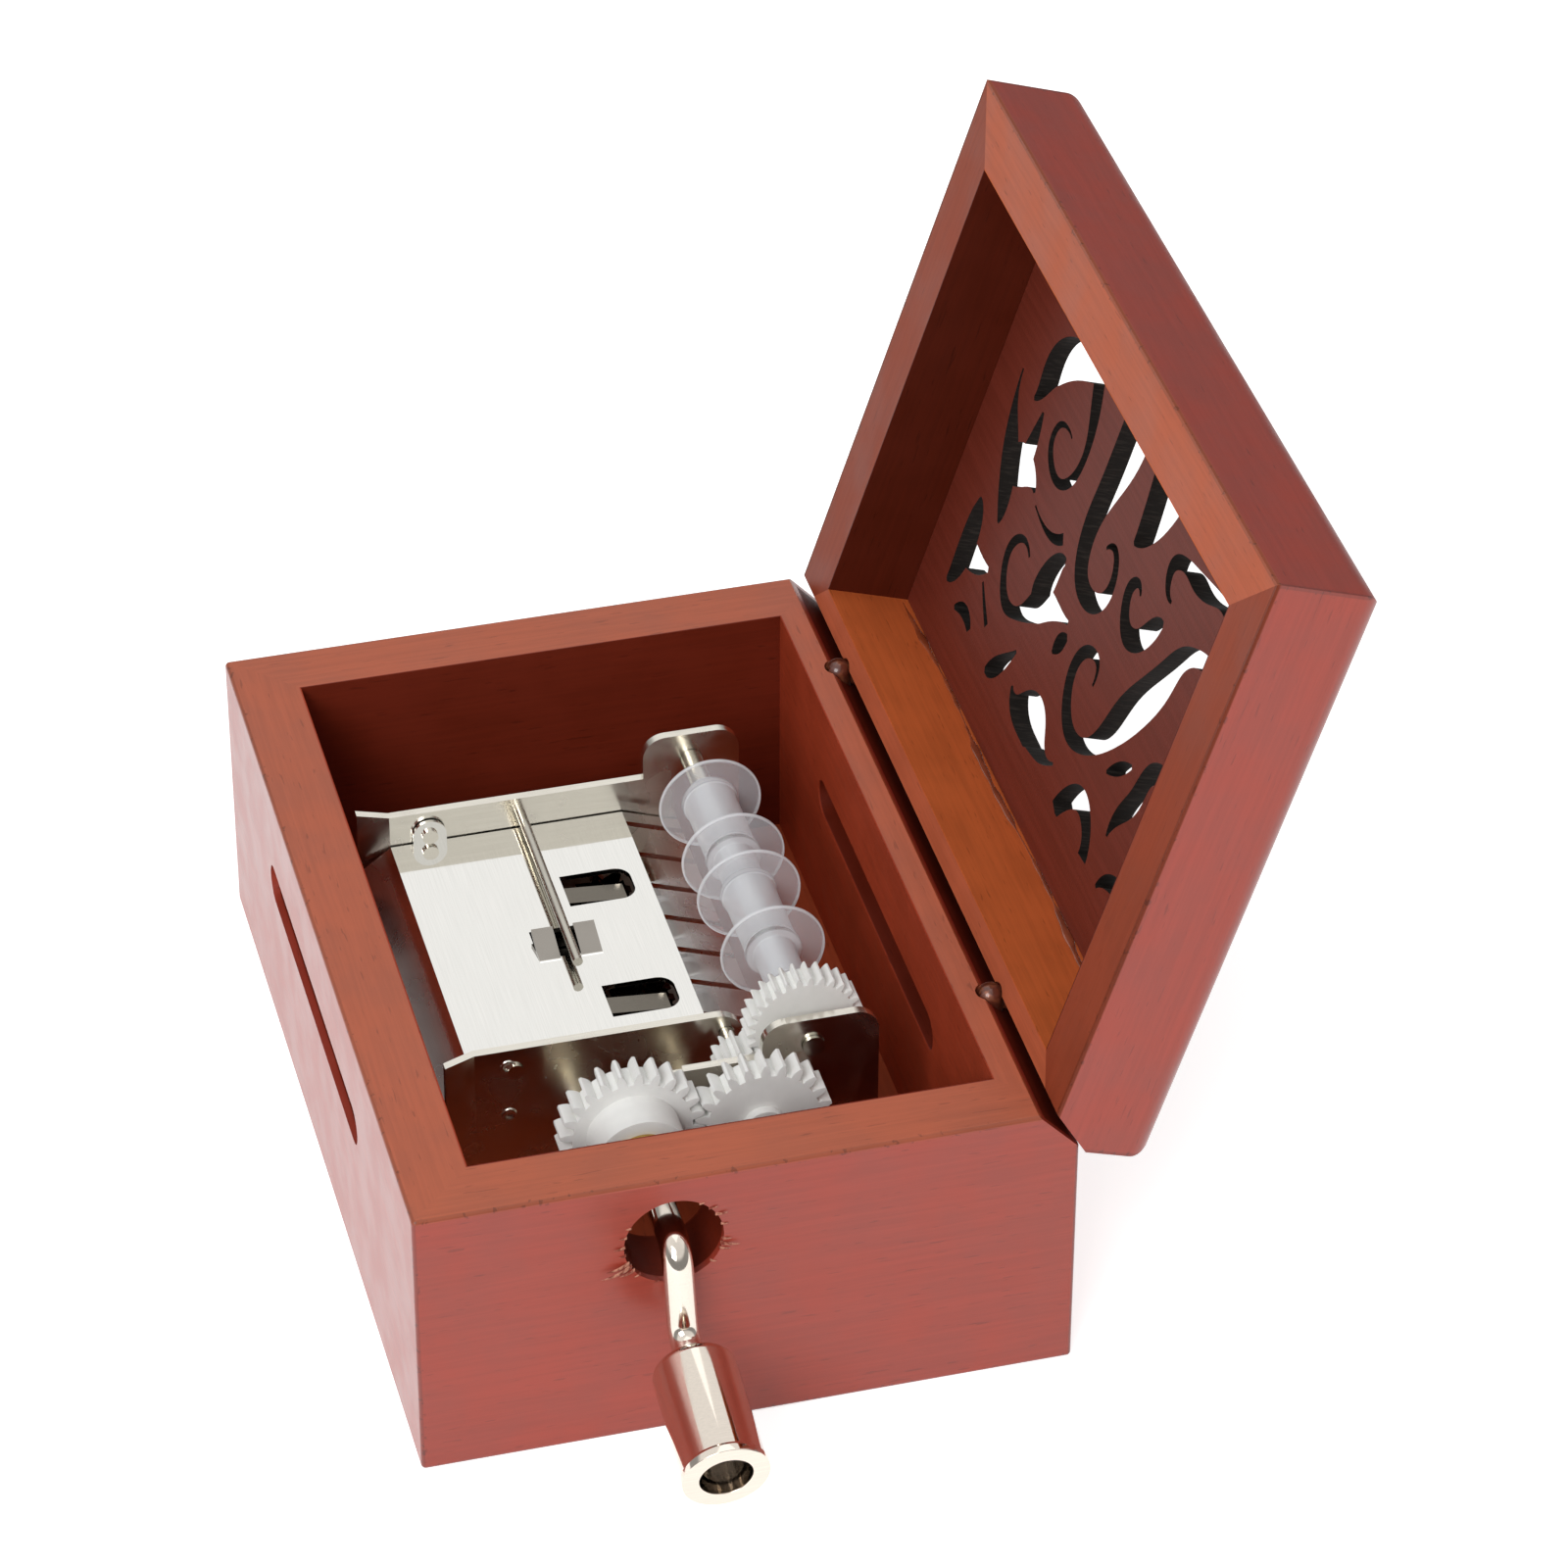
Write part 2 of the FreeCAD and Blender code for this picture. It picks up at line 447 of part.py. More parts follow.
panel_w = size("in_w") - 2 * size("panel_fit")
panel_d = size("in_d") - 2 * size("panel_fit")
field_w = size("in_w") - 2 * size("fret_margin")
field_d = size("in_d") - 2 * size("fret_margin")
panel = Part.makeBox(panel_w, panel_d, size("panel_t"), Vec(-panel_w / 2, -panel_d / 2, size("panel_z")))
through = Vec(0, 0, size("panel_t") + 2 * REACH)
below = Vec(0, 0, size("panel_z") - REACH)
field = Part.makeBox(field_w, field_d, through.z + 2 * REACH, below - Vec(field_w / 2, field_d / 2, REACH))
openings = []
for stroke in STROKES:
    face = stroke_face(stroke, field_w / 2 / FIELD_X, field_d / 2 / FIELD_Y)
    openings.append(face.translated(below).extrude(through).common(field))
lid_nodes.append(solid_node("lid_fret_panel", panel.cut(openings)))


# Toothed wheels, drawn in the plane across Y and carried along Y
def polar(middle, radius, angle):
    """A point at a radius and angle round a middle, in the plane across Y."""
    return middle + Vec(radius * math.cos(angle), 0, radius * math.sin(angle))


PRESSURE = math.radians(20)
ROOT_DEPTH = 1.25


def gear(middle, teeth_size, module_size, phase, length):
    """An involute spur wheel from its middle towards -Y, with one tooth pointing along the phase angle."""
    teeth = int(size(teeth_size))
    module = size(module_size)
    pitch_r = module * teeth / 2
    base_r = pitch_r * math.cos(PRESSURE)
    tip_r = pitch_r + module
    root_r = pitch_r - ROOT_DEPTH * module
    start_r = max(base_r, root_r)
    half_pitch = math.pi / 2 / teeth - size("backlash") / 2 / pitch_r

    def half_angle(radius):
        turn = math.acos(min(1, base_r / radius))
        return half_pitch + (math.tan(PRESSURE) - PRESSURE) - (math.tan(turn) - turn)

    edges = []
    for tooth in range(teeth):
        aim = math.radians(phase) + 2 * math.pi * tooth / teeth
        following = aim + 2 * math.pi / teeth
        foot = half_angle(start_r)
        waist_r = (start_r + tip_r) / 2
        climb = [(-1, root_r), (-1, start_r), (-1, tip_r)]
        descent = [(1, tip_r), (1, start_r), (1, root_r)]
        corners = [polar(middle, radius, aim + side * half_angle(max(radius, start_r)))
                   for side, radius in climb + descent]
        if start_r > root_r:
            edges.append(Part.LineSegment(corners[0], corners[1]).toShape())
        rise = polar(middle, waist_r, aim - half_angle(waist_r))
        fall = polar(middle, waist_r, aim + half_angle(waist_r))
        edges.append(Part.Arc(corners[1], rise, corners[2]).toShape())
        edges.append(Part.Arc(corners[2], polar(middle, tip_r, aim), corners[3]).toShape())
        edges.append(Part.Arc(corners[3], fall, corners[4]).toShape())
        if start_r > root_r:
            edges.append(Part.LineSegment(corners[4], corners[5]).toShape())
        next_foot = polar(middle, root_r, following - foot)
        valley = polar(middle, root_r, (aim + following) / 2)
        edges.append(Part.Arc(corners[5], valley, next_foot).toShape())
    return Part.Face(Part.Wire(edges)).extrude(Vec(0, -length, 0))


def disc(middle, radius, length):
    """A round bar from its middle towards -Y."""
    return Part.makeCylinder(radius, length, middle, Vec(0, -1, 0))


# Crank gear: a moulded wheel with a boss, turning on a stud, with the crank wire pressed in its front
crank_axis = Vec(size("crank_x"), 0, size("crank_z"))
idler_axis = Vec(size("idler_x"), 0, size("idler_z"))
roller_axis = Vec(size("roller_x"), 0, size("roller_z"))
gear_back = Vec(0, -size("gear_y"), 0)
gear_front = gear_back + Vec(0, -size("gear_t"), 0)
boss_front = gear_front + Vec(0, -size("boss_t"), 0)
stud_bore = disc(crank_axis + gear_back, size("stud_r") + size("run_fit"), size("stud_in") + size("run_fit"))
wheel = gear(crank_axis + gear_back, "crank_teeth", "gear_module", size("idler_dip"), size("gear_t"))
wheel = wheel.fuse(disc(crank_axis + gear_front, size("boss_r"), size("boss_t")))
wheel = wheel.cut([stud_bore, disc(crank_axis + gear_front, size("wire_r"), size("boss_t"))])
solid_node("crank_gear", wheel)
washer = disc(crank_axis + boss_front, size("washer_r"), size("washer_t"))
solid_node("crank_washer", washer.cut(disc(crank_axis + boss_front, size("wire_r"), size("washer_t"))))

# Idler: a wheel in mesh with the crank gear, a steel shaft through the bracket and a pinion behind it
idler_phase = size("idler_dip") + 180 + 180 / size("idler_teeth")
wheel = gear(idler_axis + gear_back, "idler_teeth", "gear_module", idler_phase, size("gear_t"))
wheel = wheel.fuse(disc(idler_axis + gear_front, size("hub_r"), size("hub_t")))
wheel = wheel.cut(disc(idler_axis + gear_back, size("idler_shaft_r"), size("gear_t") + size("hub_t")))
solid_node("idler_gear", wheel)
shaft_back = size("front_y")
shaft_len = size("gear_y") + size("gear_t") + size("hub_t") + size("idler_shaft_over") + shaft_back
solid_node("idler_shaft", disc(idler_axis + Vec(0, shaft_back, 0), size("idler_shaft_r"), shaft_len))
pinion_back = Vec(0, size("pinion_over") - size("roller_gear_y"), 0)
pinion_len = size("roller_gear_t") + 2 * size("pinion_over")
pinion = gear(idler_axis + pinion_back, "pinion_teeth", "pinion_module", size("roller_rise"), pinion_len)
solid_node("idler_pinion", pinion.cut(disc(idler_axis + pinion_back, size("idler_shaft_r"), pinion_len)))

# Feed roller: a shaft in the two ears, two moulded spools and the roller gear pressed on it
shaft_top = roller_axis + Vec(0, size("back_y") + size("plate_t") + size("roller_shaft_over"), 0)
shaft_len = shaft_top.y + size("bracket_y") + size("plate_t") + size("roller_shaft_over")
solid_node("roller_shaft", disc(shaft_top, size("roller_shaft_r"), shaft_len))
roller_gear_back = roller_axis + Vec(0, -size("roller_gear_y"), 0)
roller_phase = size("roller_rise") + 180 + 180 / size("roller_teeth")
wheel = gear(roller_gear_back, "roller_teeth", "pinion_module", roller_phase, size("roller_gear_t"))
solid_node("roller_gear", wheel.cut(disc(roller_gear_back, size("roller_shaft_r"), size("roller_gear_t"))))
for name, way in (("roller_spool_back", 1), ("roller_spool_front", -1)):
    spool_back = size("spool_y") + way * (size("spool_len") + size("spool_gap")) / 2 + size("spool_len") / 2
    start = roller_axis + Vec(0, spool_back, 0)
    far_flange = start + Vec(0, size("flange_t") - size("spool_len"), 0)
    spool = disc(start, size("spool_hub_r"), size("spool_len"))
    spool = spool.fuse([disc(start, size("flange_r"), size("flange_t")),
                        disc(far_flange, size("flange_r"), size("flange_t"))])
    solid_node(name, spool.removeSplitter().cut(disc(start, size("roller_shaft_r"), size("spool_len"))))

# Side plates: pressed steel, flared at the end where the strip comes in, the back one with an ear


def bearing(name, shaft, radius):
    """A hole right through the movement along Y, round a shaft's axis."""
    return round_bar(name, radius, "box_d", (shaft + "_x", "-half_d", shaft + "_z"), "y")


def side_plate(name, inner, way, right, corners, rounds):
    """A bent strip seen from above, trimmed to its outline seen from the front."""
    bend = "-(plate_left - flare_x)"
    plan = [(right, inner), (bend, inner), ("-plate_left", f"{inner} + {way} * flare_y"),
            ("-plate_left", f"{inner} + {way} * (flare_y + plate_t)"), (bend, f"{inner} + {way} * plate_t"),
            (right, f"{inner} + {way} * plate_t")]
    sheet_metal = put(outline_pad(name + "_bend", "XY", plan, "box_h"), 0, 0, "base_z")
    trim = outline_pad(name + "_trim", "XZ", corners, "box_d")
    put(trim, 0, "half_d", 0)
    for index, (x, z, radius) in enumerate(rounds):
        aim = Vec(sheet_value(x), 0, sheet_value(z))
        soften(trim, f"{name}_round{index}", radius,
               lambda edge: math.hypot(edge.CenterOfMass.x - aim.x, edge.CenterOfMass.z - aim.z) < NEAR)
    return shared(name + "_blank", sheet_metal, trim)


ear_left = "roller_x - ear_w / 2"
ear_right = "roller_x + ear_w / 2"
ear_top = "roller_z + ear_over"
rivet_z = "cover_z + lug_h - lug_w / 2"
back_outline = [("-plate_left - 1", "base_z"), (ear_right, "base_z"), (ear_right, ear_top),
                (ear_left, ear_top), (ear_left, "plate_top"), ("-plate_left - 1", "plate_top")]
back_blank = side_plate("back_plate", "back_y", 1, ear_right, back_outline,
                        [(ear_left, ear_top, "ear_round"), (ear_right, ear_top, "ear_round")])
lug_rivet_hole = round_bar("lug_rivet_hole", "rivet_r / 2", "box_d", ("lug_x", "-half_d", rivet_z), "y")
rod_hole = round_bar("rod_hole", "rod_r", "half_d", ("tab_x", "strip_y", "cover_z + rod_z"), "y")
star_hole = bearing("star_hole", "star", "star_shaft_r")
roller_hole = bearing("roller_hole", "roller", "roller_shaft_r + run_fit")
idler_hole = bearing("idler_hole", "idler", "idler_shaft_r + run_fit")
node("back_plate", cut("back_plate_bored", back_blank, lug_rivet_hole, rod_hole, star_hole, roller_hole))
front_outline = [("-plate_left - 1", "base_z"), ("front_right", "base_z"), ("front_right", "plate_top"),
                 ("-plate_left - 1", "plate_top")]
front_blank = side_plate("front_plate", "front_y", -1, "front_right", front_outline,
                         [("front_right", "plate_top", "front_round")])
node("front_plate", cut("front_plate_bored", front_blank, lug_rivet_hole, star_hole, idler_hole))

# Gear bracket in front of the front plate, its ear carrying the roller, on two posts
stud_top = "crank_z + stud_over"
low_left = "(crank_x + idler_x) / 2"
far_right = "roller_x + bracket_right"
bracket_outline = [("-bracket_left", "bracket_bottom"), (far_right, "bracket_bottom"), (far_right, ear_top),
                   (ear_left, ear_top), (ear_left, "bracket_low"), (low_left, "bracket_low"),
                   (low_left, stud_top), ("-bracket_left", stud_top)]
bracket_blank = put(outline_pad("bracket_blank", "XZ", bracket_outline, "plate_t"), 0, "-bracket_y", 0)
for index, corner in enumerate((ear_left, far_right)):
    spot = Vec(sheet_value(corner), 0, sheet_value(ear_top))
    soften(bracket_blank, f"bracket_round{index}", "ear_round",
           lambda edge: math.hypot(edge.CenterOfMass.x - spot.x, edge.CenterOfMass.z - spot.z) < NEAR)
stud_hole = bearing("stud_hole", "crank", "stud_r")
node("gear_bracket", cut("bracket_bored", bracket_blank, stud_hole, idler_hole, roller_hole))
posts = [round_bar(f"post{index}", "post_r", "bracket_y + front_y - plate_t",
                   (f"post_x + {way} * post_pitch / 2", "-bracket_y", "post_z"), "y")
         for index, way in enumerate((-1, 1))]
node("bracket_posts", group("post_pair", *posts))
solid_node("crank_stud", disc(crank_axis + Vec(0, -size("bracket_y"), 0), size("stud_r"),
                              size("gear_y") - size("bracket_y") + size("stud_in")))

# Frame base between the plates, on stand-offs that screws hold down from under the floor
base_plate = block("base_plate", ("-(plate_left - flare_x)", "front_y", "base_z"),
                   ("plate_left - flare_x + front_right", "2 * half_gap", "base_t"))
base_holes = []
standoffs = []
screws = []
for index, way in enumerate(FIX_WAYS):
    x, y = fix_point(way)
    base_holes.append(round_bar(f"base_hole{index}", "screw_r", "base_t + 2", (x, y, "base_z - 1"), "z"))
    sleeve = round_bar(f"sleeve{index}", "standoff_r", "base_z - floor_t", (x, y, "floor_t"), "z")
    bore = round_bar(f"sleeve_bore{index}", "screw_r + screw_fit", "base_z - floor_t",
                     (x, y, "floor_t"), "z")
    standoffs.append(cut(f"standoff{index}", sleeve, bore))
    head = round_bar(f"screw_head{index}", "screw_head_r", "screw_head_h", (x, y, "screw_sink"), "z")
    shank = round_bar(f"screw_shank{index}", "screw_r", "base_top - screw_sink", (x, y, "screw_sink"), "z")
    screws.append(group(f"screw{index}", head, shank))
node("frame_base", cut("base_bored", base_plate, *base_holes))
node("frame_standoffs", group("standoff_set", *standoffs))
node("frame_screws", group("screw_set", *screws))

# Cover plate: polished sheet with a sloped lead-in, slotted fingers, two windows, a tab and two lugs
half_window = "window_w / 2"
window_end = "window_x + window_l / 2"


def window(name, middle_y):
    """A punched window, square at one end and rounded at the other."""
    start = "window_x - window_l / 2"
    low = "cover_z - 2 * cover_t"
    deep = "4 * cover_t"
    body = block(name + "_body", (start, f"{middle_y} - {half_window}", low),
                 ("window_l - window_round", "window_w", deep))
    nose = block(name + "_nose", (start, f"{middle_y} - {half_window} + window_round", low),
                 ("window_l", "window_w - 2 * window_round", deep))
    ends = []
    for way in (-1, 1):
        corner_y = f"{middle_y} + {way} * ({half_window} - window_round)"
        ends.append(round_bar(f"{name}_end{way}", "window_round", deep,
                              (f"{window_end} - window_round", corner_y, low), "z"))
    return group(name, body, nose, *ends)


def lug(name, edge_y, way):
    """An upright lug with a round top along one edge of the cover, thickened towards the strip."""
    start = edge_y if way > 0 else f"{edge_y} - lug_t"
    stem = block(name + "_stem", ("lug_x - lug_w / 2", start, "cover_z - cover_t"),
                 ("lug_w", "lug_t", "cover_t + lug_h - lug_w / 2"))
    crown = round_bar(name + "_crown", "lug_w / 2", "lug_t", ("lug_x", start, rivet_z), "y")
    return group(name, stem, crown)


lead_x = "-(plate_left - flare_x)"
finger_tip = "cover_right + finger_len"
cover_profile = [("-plate_left", "cover_z - lead_drop"), (lead_x, "cover_z"), ("cover_right", "cover_z"),
                 (finger_tip, "cover_z - finger_drop"), (finger_tip, "cover_z - finger_drop - cover_t"),
                 ("cover_right", "cover_z - cover_t"), (lead_x, "cover_z - cover_t"),
                 ("-plate_left", "cover_z - lead_drop - cover_t")]
cover_back = "back_y - cover_fit"
cover_front = "front_y + cover_fit"
cover_wide = f"{cover_back} - ({cover_front})"
cover_sheet = put(outline_pad("cover_sheet", "XZ", cover_profile, cover_wide), 0, cover_back, 0)
flap_root = "tab_y - tab_l / 2"
flap_tip = "tab_y + tab_l / 2 - cover_t"
flap_shape = [(flap_root, "cover_z - cover_t"), (flap_tip, "cover_z + tab_rise - cover_t"),
              (flap_tip, "cover_z + tab_rise"), (flap_root, "cover_z")]
flaps = [put(outline_pad(f"flap{index}", "YZ", flap_shape, "tab_w / 2 - rod_r - cover_t"), start, 0, 0)
         for index, start in enumerate(("tab_x - tab_w / 2", "tab_x + rod_r + cover_t"))]
tab_slit = block("tab_slit", ("tab_x - tab_w / 2", "tab_y - tab_l / 2 + cover_t", "cover_z - 2 * cover_t"),
                 ("tab_w", "tab_l", "4 * cover_t"))
window_middles = [f"window_y + {way} * window_pitch / 2" for way in (-1, 1)]
windows = [window(f"window{index}", middle) for index, middle in enumerate(window_middles)]
finger_slots = []
reach = size("half_gap") - size("cover_fit") - 2 * size("finger_slot")
offset = size("finger_y") - size("strip_y")
first_slot = math.ceil((-reach - offset) / size("finger_pitch"))
last_slot = math.floor((reach - offset) / size("finger_pitch"))
for step in range(first_slot, last_slot + 1):
    low = f"finger_y + {step} * finger_pitch - finger_slot / 2"
    finger_slots.append(block(f"finger_slot{step - first_slot}", ("cover_right", low, "base_z"),
                              ("finger_len + 1", "finger_slot", "cover_z")))
cover_cut = cut("cover_cut", cover_sheet, tab_slit, *windows, *finger_slots)
back_lug = lug("back_lug", cover_back, -1)
front_lug = lug("front_lug", cover_front, 1)
cover_whole = group("cover_whole", cover_cut, *flaps, back_lug, front_lug)
node("cover_plate", cut("cover_bored", cover_whole, lug_rivet_hole))

# Rivets that hold the lugs to the side plates, with a head on each face
rivets = []
for place, inner, way in (("back", "back_y", 1), ("front", "front_y", -1)):
    face = f"{inner} - {way} * (cover_fit + lug_t)"
    outer = f"{inner} + {way} * plate_t"
    low, high = (face, outer) if way > 0 else (outer, face)
    shank = round_bar(f"rivet_shank_{place}", "rivet_r / 2", "plate_t + cover_fit + lug_t",
                      ("lug_x", low, rivet_z), "y")
    heads = [round_bar(f"rivet_{end}_{place}", "rivet_r", "rivet_h", ("lug_x", foot, rivet_z), "y")
             for end, foot in (("low", f"{low} - rivet_h"), ("high", high))]
    rivets.append(group(f"rivet_{place}", shank, *heads))
node("cover_rivets", group("rivet_pair", *rivets))

# Rod that holds the strip down, from the back plate to the tab
node("cover_rod", round_bar("rod_bar", "rod_r", "back_y + plate_t + rod_end",
                            ("tab_x", "-rod_end", "cover_z + rod_z"), "y"))

# Leaf springs fixed under the cover, seen through the windows
spring_root = "window_x - window_l / 2"
spring_tip = "window_x + window_l / 2 - window_round / 2"
under = "cover_z - cover_t"
spring_dip = "2 * spring_t"
spring_foot = f"{spring_root} - window_round"
spring_shape = [(spring_foot, under), (spring_root, under), (spring_tip, f"{under} - {spring_dip}"),
                (spring_tip, f"{under} - {spring_dip} - spring_t"), (spring_root, f"{under} - spring_t"),
                (spring_foot, f"{under} - spring_t")]
springs = []
for index, middle in enumerate(window_middles):
    spring = outline_pad(f"spring{index}", "XZ", spring_shape, "window_w / 2")
    springs.append(put(spring, 0, f"{middle} + window_w / 4", 0))
node("leaf_springs", group("spring_pair", *springs))

# Star wheels side by side on a fixed shaft, one for each note
star_axis = Vec(size("star_x"), 0, size("star_z"))
notes = int(size("notes"))
star_points = int(size("star_teeth"))
star_wheels = []
for note in range(notes):
    y = size("strip_y") + (note - (notes - 1) / 2) * size("note_pitch") + size("star_t") / 2
    middle = star_axis + Vec(0, y, 0)
    corners = [polar(middle, (size("star_r"), size("star_root"))[step % 2], math.pi * step / star_points)
               for step in range(2 * star_points)]
    star = Part.Face(Part.makePolygon(corners + corners[:1])).extrude(Vec(0, -size("star_t"), 0))
    star_wheels.append(star.cut(disc(middle, size("star_shaft_r") + size("run_fit"), size("star_t"))))
solid_node("star_wheels", Part.makeCompound(star_wheels))
node("star_shaft", round_bar("star_bar", "star_shaft_r", "2 * half_gap + 2 * plate_t",
                             ("star_x", "front_y - plate_t", "star_z"), "y"))

# Comb: a steel plate slit into teeth whose tips stand just clear of the star wheels, screwed to its base
comb_tip = "star_x - star_r - comb_tip_gap"
comb_wide = "notes * note_pitch + 2 * comb_side"
comb_low = "star_z - comb_t / 2"
comb_blank = block("comb_blank", ("-comb_left", f"strip_y - ({comb_wide}) / 2", comb_low),
                   (f"{comb_tip} + comb_left", comb_wide, "comb_t"))
slits = []
for note in range(notes - 1):
    length = f"tooth_short + {note} * tooth_step"
    y = f"strip_y + ({note} + 1 - notes / 2) * note_pitch - comb_gap / 2"
    slits.append(block(f"slit{note}", (f"{comb_tip} - ({length})", y, "base_top"),
                       (f"{length} + 1", "comb_gap", "star_z")))
for index, way in enumerate((-1, 1)):
    start = f"strip_y + {way} * notes * note_pitch / 2"
    low = f"{start} - comb_side" if way < 0 else start
    slits.append(block(f"comb_shoulder{index}", (f"{comb_tip} - tooth_short", low, "base_top"),
                       ("tooth_short + 1", "comb_side", "star_z")))
comb_foot = block("comb_foot", ("-comb_left", f"strip_y - ({comb_wide}) / 2", "base_top"),
                  ("comb_seat", comb_wide, f"{comb_low} - base_top"))
screw_count = int(size("comb_screws"))
comb_bores = []
comb_bolts = []
for index in range(screw_count):
    x = "-comb_left + comb_seat / 2"
    y = f"strip_y + ({index} - (comb_screws - 1) / 2) * (notes * note_pitch / comb_screws)"
    shank_low = f"({comb_low} + base_top) / 2"
    shank_len = f"{comb_low} + comb_t - {shank_low}"
    comb_bores.append(round_bar(f"comb_bore{index}", "comb_screw_r", shank_len, (x, y, shank_low), "z"))
    shank = round_bar(f"comb_shank{index}", "comb_screw_r", shank_len, (x, y, shank_low), "z")
    head = round_bar(f"comb_head{index}", "comb_head_r", "comb_head_h", (x, y, f"{comb_low} + comb_t"), "z")
    comb_bolts.append(group(f"comb_bolt{index}", shank, head))
node("comb", cut("comb_bored", comb_blank, *slits, *comb_bores))
node("comb_base", cut("comb_foot_bored", comb_foot, *comb_bores))
node("comb_screws", group("comb_bolt_set", *comb_bolts))

# Crank: steel wire bent twice, pressed in the crank gear, with a turned knob running on its riveted end
tilt = math.radians(size("knob_tilt"))
knob_way = Vec(0, -math.cos(tilt), -math.sin(tilt))
wire_start = crank_axis + gear_front
elbow = crank_axis - Vec(0, size("half_d") + size("elbow_out"), 0)
arm = Vec(0, -size("wire_slope"), -size("wire_drop"))
heel = elbow + arm
heel_reach = size("bend_r") * math.tan(arm.getAngle(knob_way) / 2)
knob_foot = heel + knob_way * (heel_reach + size("knob_start"))
wire_end = knob_foot + knob_way * (size("knob_len") - size("knob_bore_len") + size("knob_play"))


def rounded_path(points, radius):
    """Straight runs with an arc of one radius at every inner point."""
    edges = []
    start = points[0]
    for before, corner, after in zip(points, points[1:], points[2:]):
        come = (corner - before).normalize()
        go = (after - corner).normalize()
        turn = come.getAngle(go)
        leave = corner - come * (radius * math.tan(turn / 2))
        arrive = corner + go * (radius * math.tan(turn / 2))
        inward = (go - come).normalize()
        middle = corner + inward * (radius / math.cos(turn / 2) - radius)
        edges.append(Part.LineSegment(start, leave).toShape())
        edges.append(Part.Arc(leave, middle, arrive).toShape())
        start = arrive
    edges.append(Part.LineSegment(start, points[-1]).toShape())
    return Part.Wire(edges)


wire_path = rounded_path([wire_start, elbow, heel, wire_end], size("bend_r"))
wire_round = Part.Wire(Part.makeCircle(size("wire_r"), wire_start, Vec(0, -1, 0)))
solid_node("crank_wire", wire_path.makePipeShell([wire_round], True, False))


def turned(profile, foot, way):
    """A profile of radius and length, turned about its axis and set at its foot along its way."""
    loop = Part.makePolygon([Vec(radius, 0, along) for radius, along in profile + profile[:1]])
    solid = Part.Face(loop).revolve(Vec(0, 0, 0), Vec(0, 0, 1), 360)
    solid.Placement = FreeCAD.Placement(foot, FreeCAD.Rotation(Vec(0, 0, 1), way))
    return solid


knob_r = size("knob_r")
knob_len = size("knob_len")
shoulder = size("knob_shoulder")
wire_bore = size("wire_r") + size("run_fit")
bore_floor = knob_len - size("knob_bore_len")
flange_back = knob_len - size("knob_flange_t")
rim_step = size("knob_flange_r") - knob_r
round_steps = 4
shoulder_turns = [math.pi / 2 * step / round_steps for step in range(round_steps + 1)]
shoulder_arc = [(knob_r - shoulder + shoulder * math.sin(turn), shoulder - shoulder * math.cos(turn))
                for turn in shoulder_turns]
knob_profile = [(wire_bore, 0)] + shoulder_arc + [
    (knob_r, flange_back - rim_step), (knob_r + rim_step, flange_back), (knob_r + rim_step, knob_len),
    (size("knob_bore_r"), knob_len), (size("knob_bore_r"), bore_floor), (wire_bore, bore_floor)]
solid_node("crank_knob", turned(knob_profile, knob_foot, knob_way))
solid_node("crank_rivet", Part.makeCylinder(size("rivet_head_r"), size("rivet_head_t"), wire_end, knob_way))

# Lid turned open until its bevel meets the lower edge of the case's bevel
edge_x = size("hinge_in")
edge_z = size("hinge_drop") - size("chamfer_z")
bevel_len = math.hypot(size("chamfer_x"), size("chamfer_z"))
rim_x = size("hinge_in") - size("chamfer_x")
rim_z = size("hinge_drop") + size("rim_gap")
bevel_off = (rim_x * size("chamfer_z") - rim_z * size("chamfer_x")) / bevel_len + size("stop_gap")
bevel_aim = math.atan2(-size("chamfer_x"), size("chamfer_z"))
open_turn = math.acos(bevel_off / math.hypot(edge_x, edge_z)) + bevel_aim - math.atan2(edge_z, edge_x)
open_angle = math.degrees(open_turn)
print(f"lid open by {open_angle:.3f} degrees")
doc.recompute()
pivot = Vec(size("pivot_x"), 0, size("pivot_z"))
swing = FreeCAD.Placement(Vec(0, 0, 0), FreeCAD.Rotation(Vec(0, 1, 0), open_angle), pivot)
for piece in lid_nodes:
    piece.Placement = swing.multiply(piece.Placement)
doc.recompute()

# Every object is checked, then each piece is written
for thing in doc.Objects:
    if "Invalid" in thing.State or "Error" in thing.State:
        raise SystemExit(f"{thing.Label} failed: {thing.State}")
os.makedirs("parts", exist_ok=True)
for piece in nodes:
    if piece.Shape.isNull() or not piece.Shape.isValid() or not piece.Shape.Solids:
        raise SystemExit(f"{piece.Label} has no valid solid")
for piece in nodes:
    piece.Shape.exportStep(f"parts/{piece.Label}.step")
    box = piece.Shape.BoundBox
    print(f"{piece.Label}: {len(piece.Shape.Solids)} solids, {piece.Shape.Volume:.1f} mm3,",
          f"x {box.XMin:.2f} {box.XMax:.2f}, y {box.YMin:.2f} {box.YMax:.2f},",
          f"z {box.ZMin:.2f} {box.ZMax:.2f}")
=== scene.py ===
import json
import math

